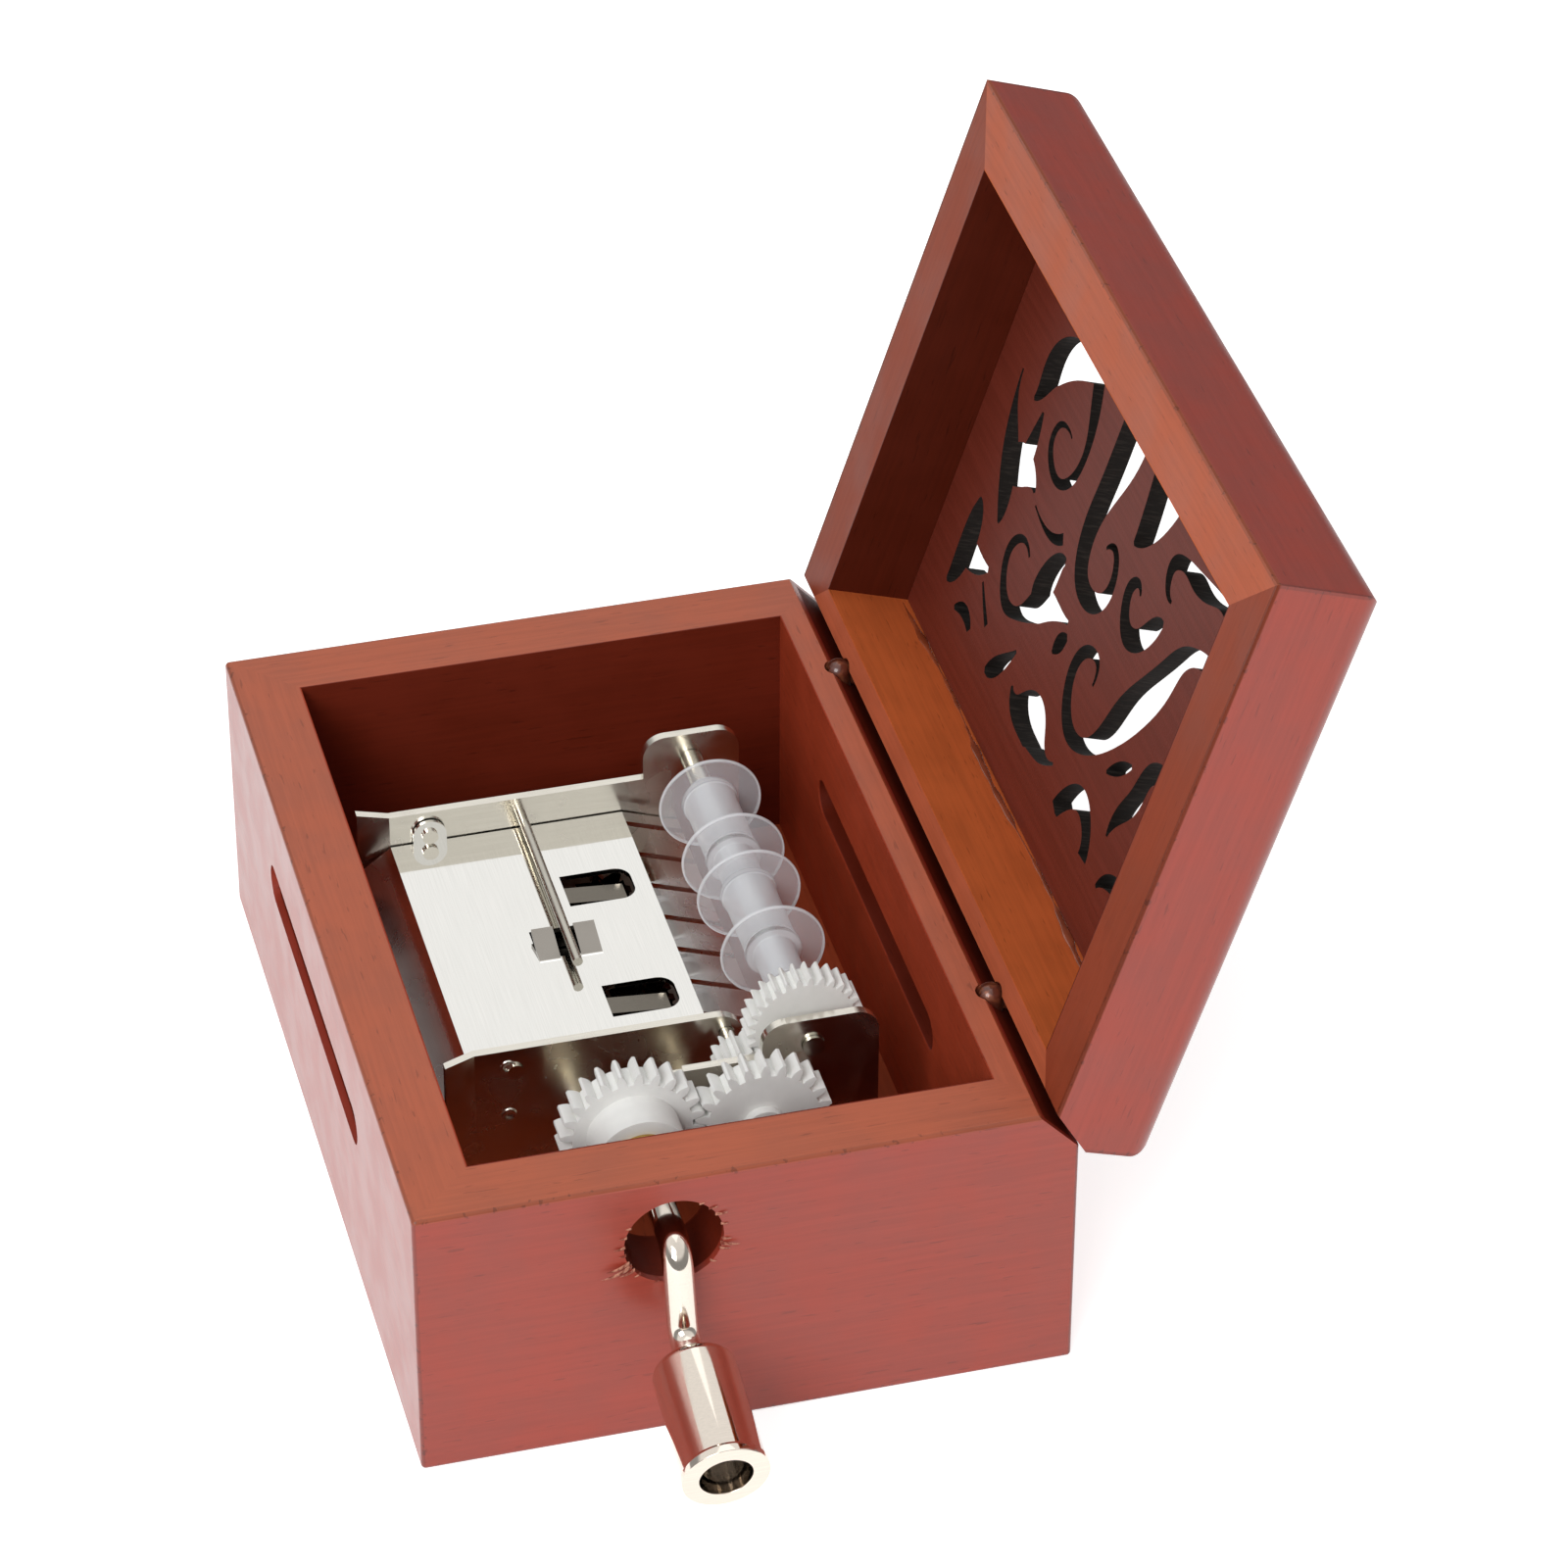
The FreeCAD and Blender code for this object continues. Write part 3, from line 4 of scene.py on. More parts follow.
import bmesh
import bpy
import numpy as np
from mathutils import Matrix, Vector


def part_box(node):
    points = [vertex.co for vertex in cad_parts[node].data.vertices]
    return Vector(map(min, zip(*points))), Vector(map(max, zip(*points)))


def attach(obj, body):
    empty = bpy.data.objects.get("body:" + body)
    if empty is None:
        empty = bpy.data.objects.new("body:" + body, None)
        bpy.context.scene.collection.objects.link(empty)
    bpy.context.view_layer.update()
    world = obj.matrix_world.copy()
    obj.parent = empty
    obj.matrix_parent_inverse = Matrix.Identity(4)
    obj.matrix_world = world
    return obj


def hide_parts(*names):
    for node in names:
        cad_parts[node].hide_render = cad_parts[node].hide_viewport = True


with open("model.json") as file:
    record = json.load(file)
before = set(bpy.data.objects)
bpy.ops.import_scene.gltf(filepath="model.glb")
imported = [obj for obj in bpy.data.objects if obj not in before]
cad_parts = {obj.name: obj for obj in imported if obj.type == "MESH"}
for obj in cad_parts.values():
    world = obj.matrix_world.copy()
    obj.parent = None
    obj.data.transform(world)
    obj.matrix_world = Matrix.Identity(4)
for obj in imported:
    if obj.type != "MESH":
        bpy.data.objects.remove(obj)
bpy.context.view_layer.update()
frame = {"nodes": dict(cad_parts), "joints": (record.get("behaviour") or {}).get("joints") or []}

# Case walls: four boards of a close-grained hardwood, mitred and glued into a ring.
# They are stained red-brown and sealed with a thin satin lacquer, thinner and duller inside.
# Sanding leaves the rims a little paler and more orange, with stain gathered along the edges.
mm = 0.001
BOX_LOW = np.minimum(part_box("box_left_wall")[0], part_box("box_front_wall")[0])
BOX_HIGH = np.maximum(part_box("box_right_wall")[1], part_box("box_back_wall")[1])
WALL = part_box("box_left_wall")[1].x - BOX_LOW[0]
GRAIN_WIDE = 0.55 * mm
GRAIN_LONG = 16 * mm
MOTTLE = 7 * mm
PORE = 0.35 * mm
PORE_LONG = PORE / 0.12
SKIN = 0.2 * mm
EDGE_BAND = 0.35 * mm
NICK = 0.8 * mm
INNER = (WALL - 0.25 * mm, WALL - 0.05 * mm)
SAWN = (0.7 * mm, 0.9 * mm)
SAWN_STAIN = "#642011"
GRAIN_BUMP = 0.06 * mm
# Some sockets share a name, so they go by number: a range takes its value and bounds as 0 to 4, or as
# 6 to 10 for vectors, and a mix takes its factor as 0, two values as 2 and 3, or two colours as 6 and 7.
MATH = "ShaderNodeMath"
VECTOR = "ShaderNodeVectorMath"
SPLIT = "ShaderNodeSeparateXYZ"
COORDS = "ShaderNodeTexCoord"
MAPPING = "ShaderNodeMapping"
NOISE = "ShaderNodeTexNoise"
RANGE = "ShaderNodeMapRange"
MIX = "ShaderNodeMix"
BUMP = "ShaderNodeBump"
SHADER = "ShaderNodeBsdfPrincipled"
OUTPUT = "ShaderNodeOutputMaterial"
SMOOTH = {"interpolation_type": "SMOOTHSTEP"}
SMOOTH_VECTOR = {"interpolation_type": "SMOOTHSTEP", "data_type": "FLOAT_VECTOR"}
COLOUR = {"data_type": "RGBA"}


def linear(code):
    """An sRGB hex colour as linear red, green, blue and alpha."""
    parts = np.array([int(code[start:start + 2], 16) for start in (1, 3, 5)]) / 255
    curved = np.where(parts <= 0.04045, parts / 12.92, ((parts + 0.055) / 1.055) ** 2.4)
    return (*curved.tolist(), 1.0)


def add(tree, kind, sockets=None, **settings):
    """One node's outputs, with each socket given a value, a hex colour or another node's output."""
    made = tree.nodes.new(kind)
    for name, value in settings.items():
        setattr(made, name, value)
    for name, value in (sockets or {}).items():
        if isinstance(value, bpy.types.NodeSocket):
            tree.links.new(value, made.inputs[name])
        else:
            made.inputs[name].default_value = linear(value) if isinstance(value, str) else value
    return made.outputs


def empty_material(name):
    """A material with nothing in its node tree, and the tree."""
    material = bpy.data.materials.new(name)
    material.use_nodes = True
    material.node_tree.nodes.clear()
    return material, material.node_tree


def paint(material, *names):
    """Give CAD nodes a finish."""
    for name in names:
        held = frame["nodes"][name]
        if not held.material_slots:
            held.data.materials.append(material)
        for slot in held.material_slots:
            slot.material = material


def stained_wood(name, grain, low, high, turn=None, face="#A03927", inner="#7C2A17", rim="#B45B3C",
                 lacquer=0.5, rim_bare=0.45):
    """Stained hardwood under satin lacquer: fine grain, mottling, pores, darker edges with small nicks.

    The depth of a point below the sides of the ring, from low to high, tells its faces apart: near two
    sides is an edge, a wall's width in is the inside, near the open side is the rim, and the rest that
    lies deep is the sawn wall of a hole. The lid's rim, where turn is given, is on its lower side.
    """
    material, tree = empty_material(name)
    place = add(tree, COORDS)["Object"]
    if turn:
        place = add(tree, MAPPING, {"Vector": place, "Location": turn[0], "Rotation": turn[1]})[0]
    with_grain = np.array(list("XYZ")) == grain
    fine = np.where(with_grain, 1 / GRAIN_LONG, 1 / GRAIN_WIDE)
    drawn = add(tree, MAPPING, {"Vector": place, "Scale": fine})[0]
    fibre = add(tree, NOISE, {"Vector": drawn, "Scale": 1.0, "Detail": 4.0, "Roughness": 0.6,
                              "Distortion": 0.4})[0]
    cloud = add(tree, NOISE, {"Vector": place, "Scale": 1 / MOTTLE, "Detail": 3.0})[0]
    long = add(tree, MAPPING, {"Vector": place, "Scale": np.where(with_grain, 1 / PORE_LONG, 1 / PORE)})[0]
    pore = add(tree, NOISE, {"Vector": long, "Scale": 1.0, "Detail": 1.0})[0]
    pore = add(tree, RANGE, {0: pore, 1: 0.66, 2: 0.78}, **SMOOTH)[0]
    nick = add(tree, NOISE, {"Vector": place, "Scale": 1 / NICK, "Detail": 2.0})[0]
    nick = add(tree, RANGE, {0: nick, 1: 0.61, 2: 0.68}, **SMOOTH)[0]

    centre = (np.array(low) + np.array(high)) / 2
    half = (np.array(high) - np.array(low)) / 2
    off = add(tree, VECTOR, {0: place, 1: centre}, operation="SUBTRACT")[0]
    off = add(tree, VECTOR, {0: off}, operation="ABSOLUTE")[0]
    depth = add(tree, VECTOR, {0: half, 1: off}, operation="SUBTRACT")[0]
    bands = []  # each runs from nought at its start to one at its end, along each axis
    for start, end in ((SKIN + EDGE_BAND, SKIN), (SKIN + NICK, SKIN), INNER, SAWN):
        bands.append(add(tree, RANGE, {6: depth, 7: [min(start, end)] * 3, 8: [max(start, end)] * 3,
                                       9: [float(start > end)] * 3, 10: [float(start < end)] * 3},
                         **SMOOTH_VECTOR)[1])
    near, wide, within, buried = bands
    edge = add(tree, VECTOR, {0: near, 1: (1.0, 1.0, 1.0)}, operation="DOT_PRODUCT")["Value"]
    edge = add(tree, RANGE, {0: edge, 1: 1.15, 2: 1.9}, **SMOOTH)[0]
    worn = add(tree, VECTOR, {0: wide, 1: (1.0, 1.0, 1.0)}, operation="DOT_PRODUCT")["Value"]
    worn = add(tree, RANGE, {0: worn, 1: 1.2, 2: 1.8}, **SMOOTH)[0]
    nick = add(tree, MATH, {0: nick, 1: worn}, operation="MULTIPLY")[0]
    within = add(tree, SPLIT, {0: within})
    inside = add(tree, MATH, {0: within[0], 1: within[1]}, operation="MULTIPLY")[0]
    rim_side = add(tree, RANGE, {0: add(tree, SPLIT, {0: place})[2], 1: centre[2] - mm, 2: centre[2] + mm,
                                 3: float(turn is not None), 4: float(turn is None)}, **SMOOTH)[0]
    on_rim = add(tree, MATH, {0: add(tree, SPLIT, {0: near})[2], 1: inside}, operation="SUBTRACT")[0]
    on_rim = add(tree, MATH, {0: on_rim, 1: rim_side}, operation="MULTIPLY")[0]
    sawn = add(tree, MATH, {0: 1.0, 1: inside}, operation="SUBTRACT")[0]
    for deep in add(tree, SPLIT, {0: buried}):
        sawn = add(tree, MATH, {0: sawn, 1: deep}, operation="MULTIPLY")[0]

    colour = face
    for mask, other in ((on_rim, rim), (inside, inner), (sawn, SAWN_STAIN)):
        colour = add(tree, MIX, {0: mask, 6: colour, 7: other}, **COLOUR)[2]
    tone = add(tree, MIX, {0: 0.55, 2: cloud, 3: fibre})[0]
    shade = add(tree, RANGE, {0: tone, 1: 0.34, 2: 0.66, 3: 0.9, 4: 1.1}, **SMOOTH)[0]
    for mark, dark in ((pore, 0.72), (edge, 0.7), (nick, 0.62)):
        dimmed = add(tree, RANGE, {0: mark, 3: 1.0, 4: dark}, **SMOOTH)[0]
        shade = add(tree, MATH, {0: shade, 1: dimmed}, operation="MULTIPLY")[0]
    rough = add(tree, RANGE, {0: cloud, 1: 0.3, 2: 0.7, 3: 0.4, 4: 0.52}, **SMOOTH)[0]
    bare = add(tree, MATH, {0: inside, 1: sawn}, operation="MAXIMUM")[0]
    thin = add(tree, MATH, {0: on_rim, 1: rim_bare}, operation="MULTIPLY")[0]
    bare = add(tree, MATH, {0: bare, 1: thin}, operation="MAXIMUM")[0]
    pits = add(tree, MATH, {0: nick, 1: 2.5, 2: pore}, operation="MULTIPLY_ADD")[0]
    height = add(tree, MATH, {0: fibre, 1: pits}, operation="SUBTRACT")[0]
    shader = add(tree, SHADER, {
        "Base Color": add(tree, VECTOR, {0: colour, "Scale": shade}, operation="SCALE")[0],
        "Roughness": add(tree, MATH, {0: inside, 1: 0.12, 2: rough}, operation="MULTIPLY_ADD")[0],
        "IOR": 1.45,
        "Specular IOR Level": add(tree, RANGE, {0: bare, 3: 0.5, 4: 0.15}, **SMOOTH)[0],
        "Coat Weight": add(tree, RANGE, {0: bare, 3: lacquer, 4: 0.0}, **SMOOTH)[0],
        "Coat Roughness": 0.2,
        "Coat IOR": 1.5,
        "Normal": add(tree, BUMP, {"Height": height, "Strength": 0.12, "Distance": GRAIN_BUMP})[0]})
    add(tree, OUTPUT, {"Surface": shader[0]})
    return material


# The front and back walls take a darker inside colour, painted shade on the back wall's inside. The side
# walls take a lighter one, painted light on their insides. They are lit and shaded copies of one wood.
wood_across_shaded_inside = stained_wood("stained_wood_across_painted_shade", "X", BOX_LOW, BOX_HIGH, inner="#6C2413")
wood_along_lit_inside = stained_wood("stained_wood_along_painted_light", "Y", BOX_LOW, BOX_HIGH, inner="#A03D23")
paint(wood_across_shaded_inside, "box_front_wall", "box_back_wall")
paint(wood_along_lit_inside, "box_left_wall", "box_right_wall")

# Torn wood round the crank hole: slivers that the drill lifted from the front board along its grain.
# They are raw and paler than the stain, still rooted at the edge of the hole, and thin out to a point.
joints = {joint["name"]: joint for joint in frame["joints"]}
CRANK = np.array(joints["crank_turn"]["pos_m"])
HOLE_R = 5.25 * mm
SLIVER_ROOT = 0.15 * mm
SLIVER_SUNK = 0.1 * mm
SOAK = 0.5 * mm
SLIVERS = [(150, 0.7), (164, 0.9), (178, 1.3), (190, 0.8), (203, 2.6), (209, 3.4), (216, 1.7), (226, 0.8),
           (252, 0.6), (318, 0.7), (338, 1.2), (345, 2.0), (352, 1.0), (14, 0.8), (31, 1.3), (44, 1.0),
           (58, 0.6)]


def surface(name, points, body, material, wrap=(False, True)):
    """A smooth mesh over a grid of points whose rows or columns may close on themselves."""
    index = np.arange(points.shape[0] * points.shape[1]).reshape(points.shape[:2])
    if wrap[0]:
        index = np.vstack([index, index[:1]])
    if wrap[1]:
        index = np.hstack([index, index[:, :1]])
    quads = np.stack([index[:-1, :-1], index[:-1, 1:], index[1:, 1:], index[1:, :-1]], -1).reshape(-1, 4)
    mesh = bpy.data.meshes.new(name)
    mesh.from_pydata(points.reshape(-1, 3).tolist(), [], quads.tolist())
    work = bmesh.new()
    work.from_mesh(mesh)
    bmesh.ops.remove_doubles(work, verts=work.verts, dist=1e-7)
    bmesh.ops.recalc_face_normals(work, faces=work.faces)
    work.to_mesh(mesh)
    work.free()
    mesh.shade_smooth()
    mesh.materials.append(material)
    made = bpy.data.objects.new(name, mesh)
    bpy.context.scene.collection.objects.link(made)
    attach(made, body)
    return made


def sliver(angle, length, along=9, around=8):
    """A bent needle: a round section that shrinks to a point along an arc which lifts off the board."""
    step = np.linspace(0, 1, along)[:, None]
    turn = np.linspace(0, 2 * np.pi, around, endpoint=False)[None]
    lean = math.radians(angle)
    root = CRANK + np.array([math.cos(lean), 0, math.sin(lean)]) * (HOLE_R - SLIVER_ROOT)
    root[1] = BOX_LOW[1] + SLIVER_SUNK
    reach = length * mm * step
    out = np.sign(math.cos(lean)) * reach
    rise = 0.35 * math.sin(lean) * reach
    lift = -0.55 * reach * (1 - 0.6 * step)
    thick = (0.16 + 0.05 * length) * mm * (1 - step) ** 0.7
    return np.stack([root[0] + out + 0 * turn, root[1] + lift + 0.5 * thick * np.cos(turn),
                     root[2] + rise + thick * np.sin(turn)], -1)


def torn_wood(name):
    """Raw fibres: pale and dull, with stain soaked in unevenly."""
    material, tree = empty_material(name)
    place = add(tree, COORDS)["Object"]
    soak = add(tree, NOISE, {"Vector": place, "Scale": 1 / SOAK, "Detail": 2.0})[0]
    soak = add(tree, RANGE, {0: soak, 1: 0.35, 2: 0.65}, **SMOOTH)[0]
    colour = add(tree, MIX, {0: soak, 6: "#7C2F1E", 7: "#C88A72"}, **COLOUR)[2]
    shader = add(tree, SHADER, {"Base Color": colour, "Roughness": 0.8})
    add(tree, OUTPUT, {"Surface": shader[0]})
    return material


torn = torn_wood("torn_wood")
for number, (angle, length) in enumerate(SLIVERS):
    surface(f"sliver_{number:02d}", sliver(angle, length), "case", torn)

# Case floor: a thin board of the same wood between the walls, stained but left without lacquer.
# It shows only beside the movement, where it is in shade.
wood_floor = stained_wood("stained_wood_floor", "Y", BOX_LOW, BOX_HIGH, face="#A84A2B", inner="#A84A2B")
paint(wood_floor, "box_floor")

# Lid rails: the same boards as the case, cut from it along the rim, with the outer edges rounded over.
# Their grain is laid out on the closed lid and turned with it to where the lid stands open.
PIVOT = np.array(joints["lid_hinge"]["pos_m"])
OPEN = math.radians(108.138)
LID_HIGH = 12.2 * mm
RIM_GAP = 0.1 * mm
LID_LOW = np.array([BOX_LOW[0], BOX_LOW[1], BOX_HIGH[2] + RIM_GAP])
LID_TOP = np.array([BOX_HIGH[0], BOX_HIGH[1], LID_LOW[2] + LID_HIGH])


def opened(points):
    """Points of the closed lid turned about the hinge axis to the open lid."""
    off = np.asarray(points, float) - PIVOT
    cos, sin = math.cos(OPEN), math.sin(OPEN)
    turned = np.stack([off[..., 0] * cos + off[..., 2] * sin, off[..., 1],
                       off[..., 2] * cos - off[..., 0] * sin], -1)
    return turned + PIVOT


back = Matrix.Rotation(-OPEN, 3, "Y")
closing = (PIVOT - np.array(back) @ PIVOT, (0.0, -OPEN, 0.0))
# The front and back rails take a near-black inside colour, painted shade where the open lid's panel and rails
# shade it. The side rails take a darker outside colour than the case, painted shade on the free rail's
# upturned face.
lid_across_shaded_inside = stained_wood("stained_wood_lid_across_painted_shade", "X", LID_LOW, LID_TOP, closing, inner="#521B0C",
                          rim="#8E3F27", rim_bare=1.0)
lid_along_shaded_outside = stained_wood("stained_wood_lid_along_painted_shade", "Y", LID_LOW, LID_TOP, closing, face="#943324",
                         inner="#C66232", lacquer=0.0, rim_bare=0.8)
paint(lid_across_shaded_inside, "lid_front_rail", "lid_back_rail")
paint(lid_along_shaded_outside, "lid_free_rail", "lid_hinge_rail")

# Glue along the hinge rail: a bead that was pressed out where the panel meets the rail, wiped unevenly.
# It dried hard and glossy, the colour of the stain beneath it.
PANEL_THICK = 2.4 * mm
RAIL_IN = BOX_HIGH[0] - WALL
PANEL_IN = LID_TOP[2] - PANEL_THICK
BEAD_SHORT = 0.5 * mm
BEAD_HALF = BOX_HIGH[1] - WALL - BEAD_SHORT
BEAD_R = 0.34 * mm
DRIP = 2.5 * mm


def glue_bead(along=160, around=12):
    """A thin tube along the corner whose radius and centre swell by a sum of sine waves."""
    spot = np.linspace(-1, 1, along)[:, None]
    turn = np.linspace(0, 2 * np.pi, around, endpoint=False)[None]
    swell = 0.5 + 0.3 * np.sin(9.1 * spot) + 0.25 * np.sin(23.7 * spot + 1) + 0.15 * np.sin(61 * spot + 2)
    radius = BEAD_R * np.clip(swell, 0.15, 1.2) * np.sqrt(np.clip(1 - spot ** 8, 0, 1))
    wander = mm * (0.45 + 0.3 * np.sin(7.3 * spot + 0.4))
    return opened(np.stack([RAIL_IN + 0.5 * radius * np.cos(turn) + 0 * spot, BEAD_HALF * spot + 0 * turn,
                            PANEL_IN - wander + 1.6 * radius * np.sin(turn)], -1))


def dried_glue(name):
    """Hide glue dried to a clear gloss: brown, a little deeper where it lies thick."""
    material, tree = empty_material(name)
    place = add(tree, COORDS)["Object"]
    thick = add(tree, NOISE, {"Vector": place, "Scale": 1 / DRIP, "Detail": 2.0})[0]
    thick = add(tree, RANGE, {0: thick, 1: 0.35, 2: 0.65}, **SMOOTH)[0]
    shader = add(tree, SHADER, {
        "Base Color": add(tree, MIX, {0: thick, 6: "#94492B", 7: "#7E3B20"}, **COLOUR)[2],
        "Roughness": add(tree, RANGE, {0: thick, 3: 0.24, 4: 0.14}, **SMOOTH)[0],
        "IOR": 1.5, "Coat Weight": 0.6, "Coat Roughness": 0.1})
    add(tree, OUTPUT, {"Surface": shader[0]})
    return material


surface("glue_bead", glue_bead(), "lid", dried_glue("dried_glue"))

# Pierced panel: a thin board sawn by a hot beam, stained like the rest and set flush in the lid.
# Its faces keep the red-brown stain, and the walls of the cuts are charred black with upright streaks.
CHAR_STREAK = 0.25 * mm
CHAR_LONG = CHAR_STREAK / 0.12
CHAR_BUMP = 0.08 * mm
BOARD_GRAIN = (1 / GRAIN_WIDE, 1 / GRAIN_LONG, 1 / GRAIN_WIDE)
BOARD_STREAKS = (1 / CHAR_STREAK, 1 / CHAR_STREAK, 1 / CHAR_LONG)


def charred_board(name, normal):
    """Stained board whose cut walls, which face away from the board's normal, are charred."""
    material, tree = empty_material(name)
    coords = add(tree, COORDS)
    place = add(tree, MAPPING, {"Vector": coords["Object"], "Location": closing[0],
                                "Rotation": closing[1]})[0]
    facing = add(tree, VECTOR, {0: coords["Normal"], 1: normal}, operation="DOT_PRODUCT")["Value"]
    facing = add(tree, MATH, {0: facing}, operation="ABSOLUTE")[0]
    cut = add(tree, RANGE, {0: facing, 1: 0.4, 2: 0.7, 3: 1.0, 4: 0.0}, **SMOOTH)[0]
    grain = add(tree, MAPPING, {"Vector": place, "Scale": BOARD_GRAIN})[0]
    fibre = add(tree, NOISE, {"Vector": grain, "Scale": 1.0, "Detail": 4.0, "Distortion": 0.4})[0]
    upright = add(tree, MAPPING, {"Vector": place, "Scale": BOARD_STREAKS})[0]
    streak = add(tree, NOISE, {"Vector": upright, "Scale": 1.0, "Detail": 3.0})[0]
    tone = add(tree, RANGE, {0: fibre, 1: 0.3, 2: 0.7}, **SMOOTH)[0]
    board = add(tree, MIX, {0: tone, 6: "#66281B", 7: "#702E21"}, **COLOUR)[2]
    burnt = add(tree, RANGE, {0: streak, 1: 0.45, 2: 0.75}, **SMOOTH)[0]
    char = add(tree, MIX, {0: burnt, 6: "#15100D", 7: "#2B2521"}, **COLOUR)[2]
    height = add(tree, MATH, {0: fibre, 1: streak}, operation="ADD")[0]
    shader = add(tree, SHADER, {
        "Base Color": add(tree, MIX, {0: cut, 6: board, 7: char}, **COLOUR)[2],
        "Roughness": add(tree, RANGE, {0: cut, 3: 0.5, 4: 0.8}, **SMOOTH)[0],
        "IOR": 1.5, "Specular IOR Level": 0.2,
        "Normal": add(tree, BUMP, {"Height": height, "Strength": 0.25, "Distance": CHAR_BUMP})[0]})
    add(tree, OUTPUT, {"Surface": shader[0]})
    return material


paint(charred_board("charred_fret_board", (math.sin(OPEN), 0.0, math.cos(OPEN))), "lid_fret_panel")

# Barrel hinges: brass barrels pressed into both edges, painted over with the stain.
# The paint is worn through to the metal on the round heads.
HEAD_WEAR = 0.8 * mm


def stained_brass(name):
    """Brass under a coat of stain: brown, with metal showing in small worn spots."""
    material, tree = empty_material(name)
    place = add(tree, COORDS)["Object"]
    wear = add(tree, NOISE, {"Vector": place, "Scale": 1 / HEAD_WEAR, "Detail": 3.0})[0]
    pale = add(tree, RANGE, {0: wear, 1: 0.5, 2: 0.7}, **SMOOTH)[0]
    shader = add(tree, SHADER, {
        "Base Color": add(tree, MIX, {0: pale, 6: "#5A2A1C", 7: "#8C5136"}, **COLOUR)[2],
        "Metallic": add(tree, RANGE, {0: wear, 1: 0.55, 2: 0.75, 3: 0.0, 4: 0.6}, **SMOOTH)[0],
        "Roughness": 0.32, "Coat Weight": 0.5})
    add(tree, OUTPUT, {"Surface": shader[0]})
    return material


paint(stained_brass("stained_brass"), "hinge_box_barrels", "hinge_lid_barrels", "hinge_pins")

# Movement plates: cold-rolled steel, pressed to shape and nickel plated, with a warm tint.
# Rolling leaves faint lines along the sheet, and handling leaves soft smears in its gloss.
ROLL_LINE = 0.12 * mm
ROLL_LONG = ROLL_LINE / 0.015
SMEAR = 5 * mm
ROLL_BUMP = 0.01 * mm


def worked_metal(name, bright, dull, smooth, rough, lines, along="X"):
    """Rolled, drawn, turned or cast metal: fine lines one way, and smears between two grades of gloss."""
    material, tree = empty_material(name)
    place = add(tree, COORDS)["Object"]
    scale = np.where(np.array(list("XYZ")) == along, 1 / ROLL_LONG, 1 / ROLL_LINE)
    drawn = add(tree, MAPPING, {"Vector": place, "Scale": scale})[0]
    line = add(tree, NOISE, {"Vector": drawn, "Scale": 1.0, "Detail": 2.0})[0]
    smear = add(tree, NOISE, {"Vector": place, "Scale": 1 / SMEAR, "Detail": 4.0, "Distortion": 0.6})[0]
    shader = add(tree, SHADER, {
        "Base Color": add(tree, MIX, {0: line, 6: dull, 7: bright}, **COLOUR)[2],
        "Metallic": 1.0,
        "Roughness": add(tree, RANGE, {0: smear, 1: 0.35, 2: 0.7, 3: smooth, 4: rough}, **SMOOTH)[0],
        "Normal": add(tree, BUMP, {"Height": line, "Strength": lines, "Distance": ROLL_BUMP})[0]})
    add(tree, OUTPUT, {"Surface": shader[0]})
    return material


plate_steel = worked_metal("nickel_plated_steel", "#ECE7DB", "#DBD6CB", 0.16, 0.3, 0.2)
paint(plate_steel, "back_plate", "front_plate", "gear_bracket", "cover_rivets", "bracket_posts", "crank_stud")

# Punch marks on the front plate: two flat rivet heads that hold the frame's cross pieces behind it.
# Each is a low dome with a dimple, pressed nearly flush when the frame was closed.
MARK_X = -17.8 * mm
MARK_Z = (24.0 * mm, 17.5 * mm)
MARK_R = 0.85 * mm
PLATE_FACE = -16.92 * mm
MARK_PROFILE = np.array([(1, 0), (0.92, 0.14), (0.75, 0.2), (0.6, 0.16), (0.4, 0.02), (0.2, -0.02),
                         (0, -0.02)])


def lathe(profile, foot, way, around=96):
    """A profile of radius and length carried round an axis that starts at a foot."""
    profile = np.asarray(profile, float)
    way = np.asarray(way, float) / np.linalg.norm(way)
    side = np.cross(way, (1.0, 0.0, 0.0))
    side = side / np.linalg.norm(side)
    turn = np.linspace(0, 2 * np.pi, around, endpoint=False)
    ring = np.cos(turn)[:, None] * side + np.sin(turn)[:, None] * np.cross(way, side)
    return np.asarray(foot) + profile[:, None, 1:] * way + profile[:, None, :1] * ring


for number, height in enumerate(MARK_Z):
    head = lathe(MARK_PROFILE * MARK_R, (MARK_X, PLATE_FACE, height), (0, -1, 0), 32)
    surface(f"punch_mark_{number}", head, "case", plate_steel)

# Cover plate: the same sheet, polished bright on top, because the paper strip slides over it.
# The bent lead-in and fingers keep a softer polish, and the punched tab in its middle is dull.
COVER_TOP = 22.2 * mm
SLOPE = (0.9 * mm, 0.2 * mm)
TAB_RISE = (0.02 * mm, 0.1 * mm)
TAB_REACH = (12 * mm, 13 * mm)
TAB_STEEL = "#8C8780"
polished = worked_metal("polished_nickel_cover", "#F4F2ED", "#E2E1DC", 0.03, 0.07, 0.03, "Y")
tree = polished.node_tree
sockets = tree.nodes["Principled BSDF"].inputs
split = add(tree, SPLIT, {0: add(tree, COORDS)["Object"]})
slope = add(tree, RANGE, {0: split["Z"], 1: COVER_TOP - SLOPE[0], 2: COVER_TOP - SLOPE[1], 3: 0.24, 4: 0.0},
            **SMOOTH)[0]
raised = add(tree, RANGE, {0: split["Z"], 1: COVER_TOP + TAB_RISE[0], 2: COVER_TOP + TAB_RISE[1]},
             **SMOOTH)[0]
ahead = add(tree, RANGE, {0: split["Y"], 1: TAB_REACH[0], 2: TAB_REACH[1], 3: 1.0, 4: 0.0}, **SMOOTH)[0]
